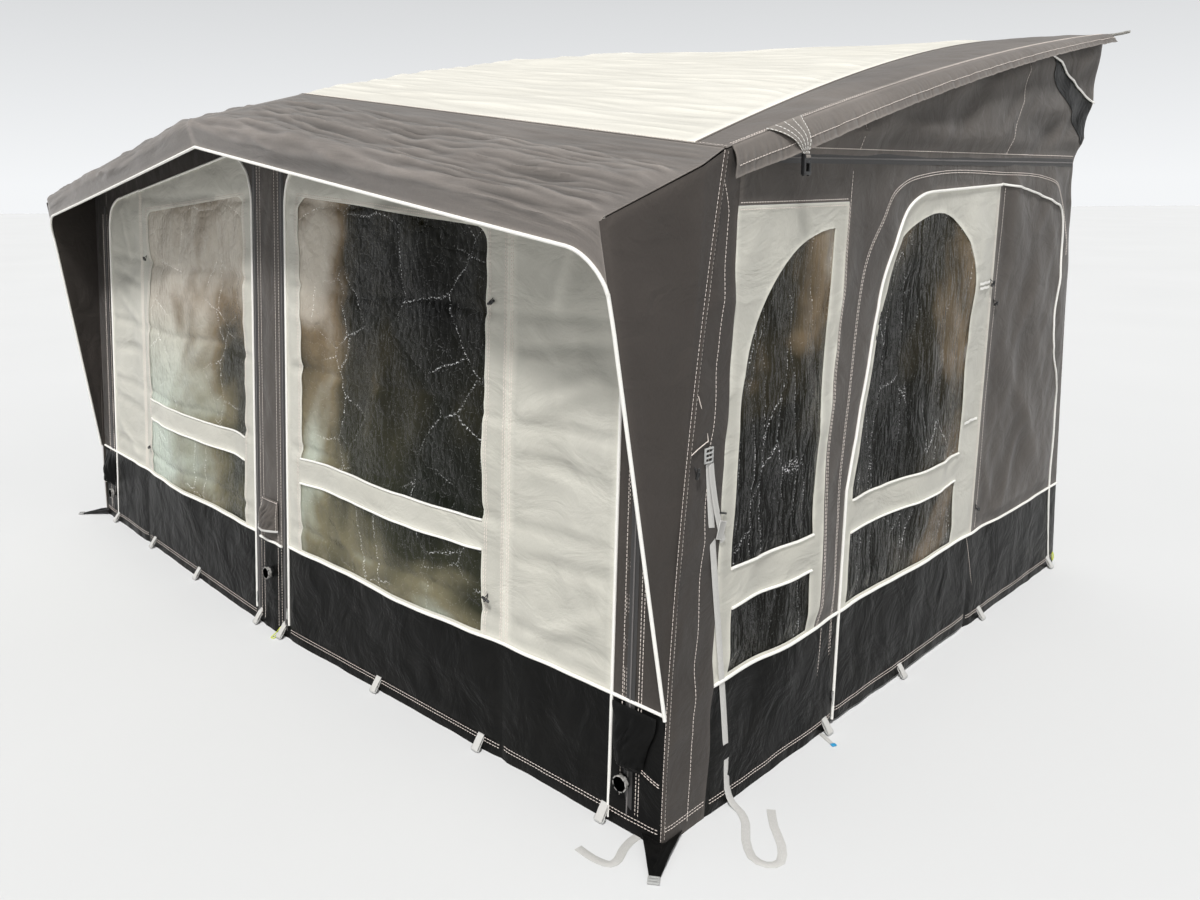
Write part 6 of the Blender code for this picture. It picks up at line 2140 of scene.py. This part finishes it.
corner = {
    "opening": [(2.285, 2.236), (2.720, 2.084), (2.690, 1.985), (2.645, 1.908), (2.600, 1.950),
                (2.517, 2.026), (2.348, 2.116), (2.288, 2.169)],
    "patchOut": 0.0028, "patchPitch": 0.02, "patchThick": 0.0010,
    "elastic": [(2.270, 2.243), (2.420, 2.188), (2.580, 2.132), (2.728, 2.084)],
    "pocket": {
        "top": (1.772, 1.925), "foot": (1.790, 1.884), "high": 0.360, "low": 0.190,
        "bulge": 0.034, "tuck": 0.75,
    },
    "pocketSeam": [(1.868, 0.207), (1.895, 0.196), (1.925, 0.186), (1.944, 0.182)],
    "footBase": [(1.878, 0.0165), (1.920, 0.0155), (1.952, 0.0165), (1.953, 0.060), (1.954, 0.100)],
    "footTip": (2.012, -0.088), "footRows": 14, "footWide": 0.024, "footCut": (0.008, 0.11),
    "clip": ((0.032, 0.026, 0.006), (0, 0, 0.0045)), "clipAt": (0.006, -0.010), "clipTurn": 35,
    "clipSlots": (((0.022, 0.005, 0.03), (0, 0.005, 0)), ((0.022, 0.004, 0.03), (0, -0.006, 0))),
    "tails": (0.812, 0.07), "tailOut": 0.008, "tailWide": 0.014, "tailThick": 0.0016, "tailTurn": -25,
    "tag": (0.013, 0.0165, 0.0040),
    "pulls": ((2.607, 0.808), (2.840, 0.058)), "pull": 0.0020,
    "pullLoop": [(0, 0, 0.010), (0.004, -0.020, 0.014), (0, -0.040, 0.012), (-0.005, -0.018, 0.010),
                 (0, -0.001, 0.009)],
    "columnPull": [(0.066, -0.085, 0.012), (0.070, -0.108, 0.003), (0.082, -0.100, 0.003),
                   (0.074, -0.080, 0.012)],
}


def onGround(x, y, height):
    return lambda u, v, out=0.0: Vector((x + u, y + v, height + out))


def makeFootCloth(hand, word, tip):
    # the loose cloth at the corner's foot, pulled out to its strap
    base = smoothLine([Vector((x, y, 0.012)) for x, y in corner["footBase"]], 5)
    shares = [level / corner["footRows"] for level in range(corner["footRows"] + 1)]

    def pulled(share, index):
        spread = (index / (len(base) - 1) - 0.5) * corner["footWide"]
        spot = base[index].lerp(tip + Vector((spread, spread * 0.6, 0)), share)
        lift = sin(pi * (0.25 + 0.75 * share)) * (0.7 + 0.3 * ridge(index / 20, share, 0.3, 1, 3))
        spot.z = 0.0035 + 0.020 * lift * (1 - 0.5 * share)
        return spot

    rows = [[pulled(share, index) for index in range(len(base))] for share in shares]
    wide, long = corner["footCut"]
    spots = [[(index * wide, share * long) for index in range(len(base))] for share in shares]
    thick = pocketSheet["thick"]
    cloth = loftSheet("corner_foot_cloth_" + word, rows, spots, (0.4, -0.4, 1), "skirt", hand, thick)
    hung(cloth, "shelter", held="gathered")


def makeCornerDetails(hand, word):
    def overGable(y, z):
        return gableRelief(y, z, hand) + corner["patchOut"]

    # painted shade: a black sheet on the gable where the open gap behind its rear hem lies in shadow
    patch = cutSheet("gable_painted_shade_" + word, [corner["opening"]], side, overGable, sideOut, "skirt",
                     corner["patchPitch"], hand, corner["patchThick"])
    hung(patch, "shelter")
    line = onWall(denser(corner["elastic"], 0.02), side, overGable, 0.004)
    piping("gable_elastic_" + word, [line], hand, radius=0.0042)
    # the gathered pocket over the corner valve
    pocketPiece("valve_pocket_" + word, corner["pocket"], "skirt", hand)
    seam = smoothLine([front(x, z, 0.011) for x, z in corner["pocketSeam"]], 5)
    lines = [seam, moved(seam, 0, 0, -stitch["rows"])]
    stitchPiece("valve_pocket_thread_" + word, lines, frontOut, hand, slot="black_skirt")
    tip = Vector((*corner["footTip"], 0.005))
    makeFootCloth(hand, word, tip)
    clip = block("foot_clip_" + word, *corner["clip"])
    cutAway(clip, *[block("slot", *slot) for slot in corner["clipSlots"]])
    fitted(softened(clip, 0.0010), onGround(tip.x, tip.y, 0.0006), *corner["clipAt"], hand, "grey", "shelter",
           turn=corner["clipTurn"])
    # a short grey tail with its coloured tip, beside the side skirt
    y, long = corner["tails"]
    beside, turn = onGround(shell["half"] + corner["tailOut"], y, 0.0004), corner["tailTurn"]
    tail = block("peg_tail_" + word, (long, corner["tailWide"], corner["tailThick"]), (long / 2, 0, 0.0014))
    fitted(softened(tail, 0.0004), beside, 0, 0, hand, "webbing", "shelter", turn=turn)
    tag = block("peg_tail_tip_" + word, corner["tag"], (long, 0, 0.0022))
    fitted(softened(tag, 0.0009), beside, 0, 0, hand, "blue", "shelter", turn=turn)
    # yellow pulls at the rear hem and the rear foot
    lines = [smoothLine([side(u + along, v + rise, out) for along, rise, out in corner["pullLoop"]], 5)
             for u, v in corner["pulls"]]
    tubePiece("yellow_pulls_" + word, lines, corner["pull"], "yellow", hand)


def makeColumnPull():
    line = [front(0.065, 0.030, 0.003)] + [Vector(spot) for spot in corner["columnPull"]]
    line.append(front(0.070, 0.028, 0.003))
    tubePiece("yellow_pull_column", [smoothLine(line, 6)], corner["pull"], "yellow")


makeValves()
makeSliders()
makeLadderLock()
makeBuckle()
bothHands(makeToggles)
makeColumnPocket()
bothHands(makeCornerDetails)
makeColumnPull()
print("fittings made")


# Floor and light

studio = {
    "floor": ((0.3, (0.65, 0.65, 0.645)), (0.7, (0.67, 0.67, 0.665))), "floorSize": 240,
    "back": (0.97, 0.985, 1.0, 1),
    "sky": ((0.0, 0.94), (0.34, 0.50), (1.0, 0.34)),
    "key": {"from": (0.42, -0.70, 1.20), "strength": 3.5, "spread": 0.16},
    "fill": {"spot": (9.0, -2.5, 3.0), "aim": (0, 0, 1), "size": 4.0, "power": 15},
}


def makeFloor():
    material, shader = newFinish("floor_paint", (0.66, 0.66, 0.655), 0.85)
    tone = rampOn(material, noiseAt(material, objectPlace(material), 0.4, 2.0), studio["floor"])
    join(material, (tone, shader.inputs["Base Color"]))
    bpy.ops.object.select_all(action="DESELECT")
    bpy.ops.mesh.primitive_plane_add(size=studio["floorSize"], location=(0, 0, 0))
    floor = bpy.context.active_object
    floor.name = "floor"
    floor.data.materials.append(material)


def makeSky():
    world = bpy.data.worlds.new("studio")
    world.use_nodes = True
    bpy.context.scene.world = world
    nodes, links = world.node_tree.nodes, world.node_tree.links
    back = nodes["Background"]
    back.inputs[0].default_value = studio["back"]
    kinds = ("ShaderNodeTexCoord", "ShaderNodeSeparateXYZ", "ShaderNodeValToRGB")
    way, parts, ramp = (nodes.new(kind) for kind in kinds)
    stops = ramp.color_ramp.elements
    for element, (spot, grey) in zip((stops[0], stops.new(0.5), stops[-1]), studio["sky"]):
        element.position, element.color = spot, (grey, grey, grey, 1)
    links.new(way.outputs["Generated"], parts.inputs[0])
    links.new(parts.outputs["Z"], ramp.inputs[0])
    links.new(ramp.outputs[0], back.inputs[1])


def makeLamps():
    key, fill = bpy.data.lights.new("key", "SUN"), bpy.data.lights.new("fill", "AREA")
    sun, lamp = studio["key"], studio["fill"]
    key.energy, key.angle = sun["strength"], sun["spread"]
    fill.energy, fill.size = lamp["power"], lamp["size"]
    for light, spot, aim in ((key, sun["from"], (0, 0, 0)), (fill, lamp["spot"], lamp["aim"])):
        holder = bpy.data.objects.new(light.name, light)
        bpy.context.scene.collection.objects.link(holder)
        holder.location = spot
        holder.rotation_euler = (Vector(aim) - Vector(spot)).to_track_quat("-Z", "Y").to_euler()
    bpy.context.scene.view_settings.view_transform = "Standard"


makeFloor()
makeSky()
makeLamps()
print("studio lit")
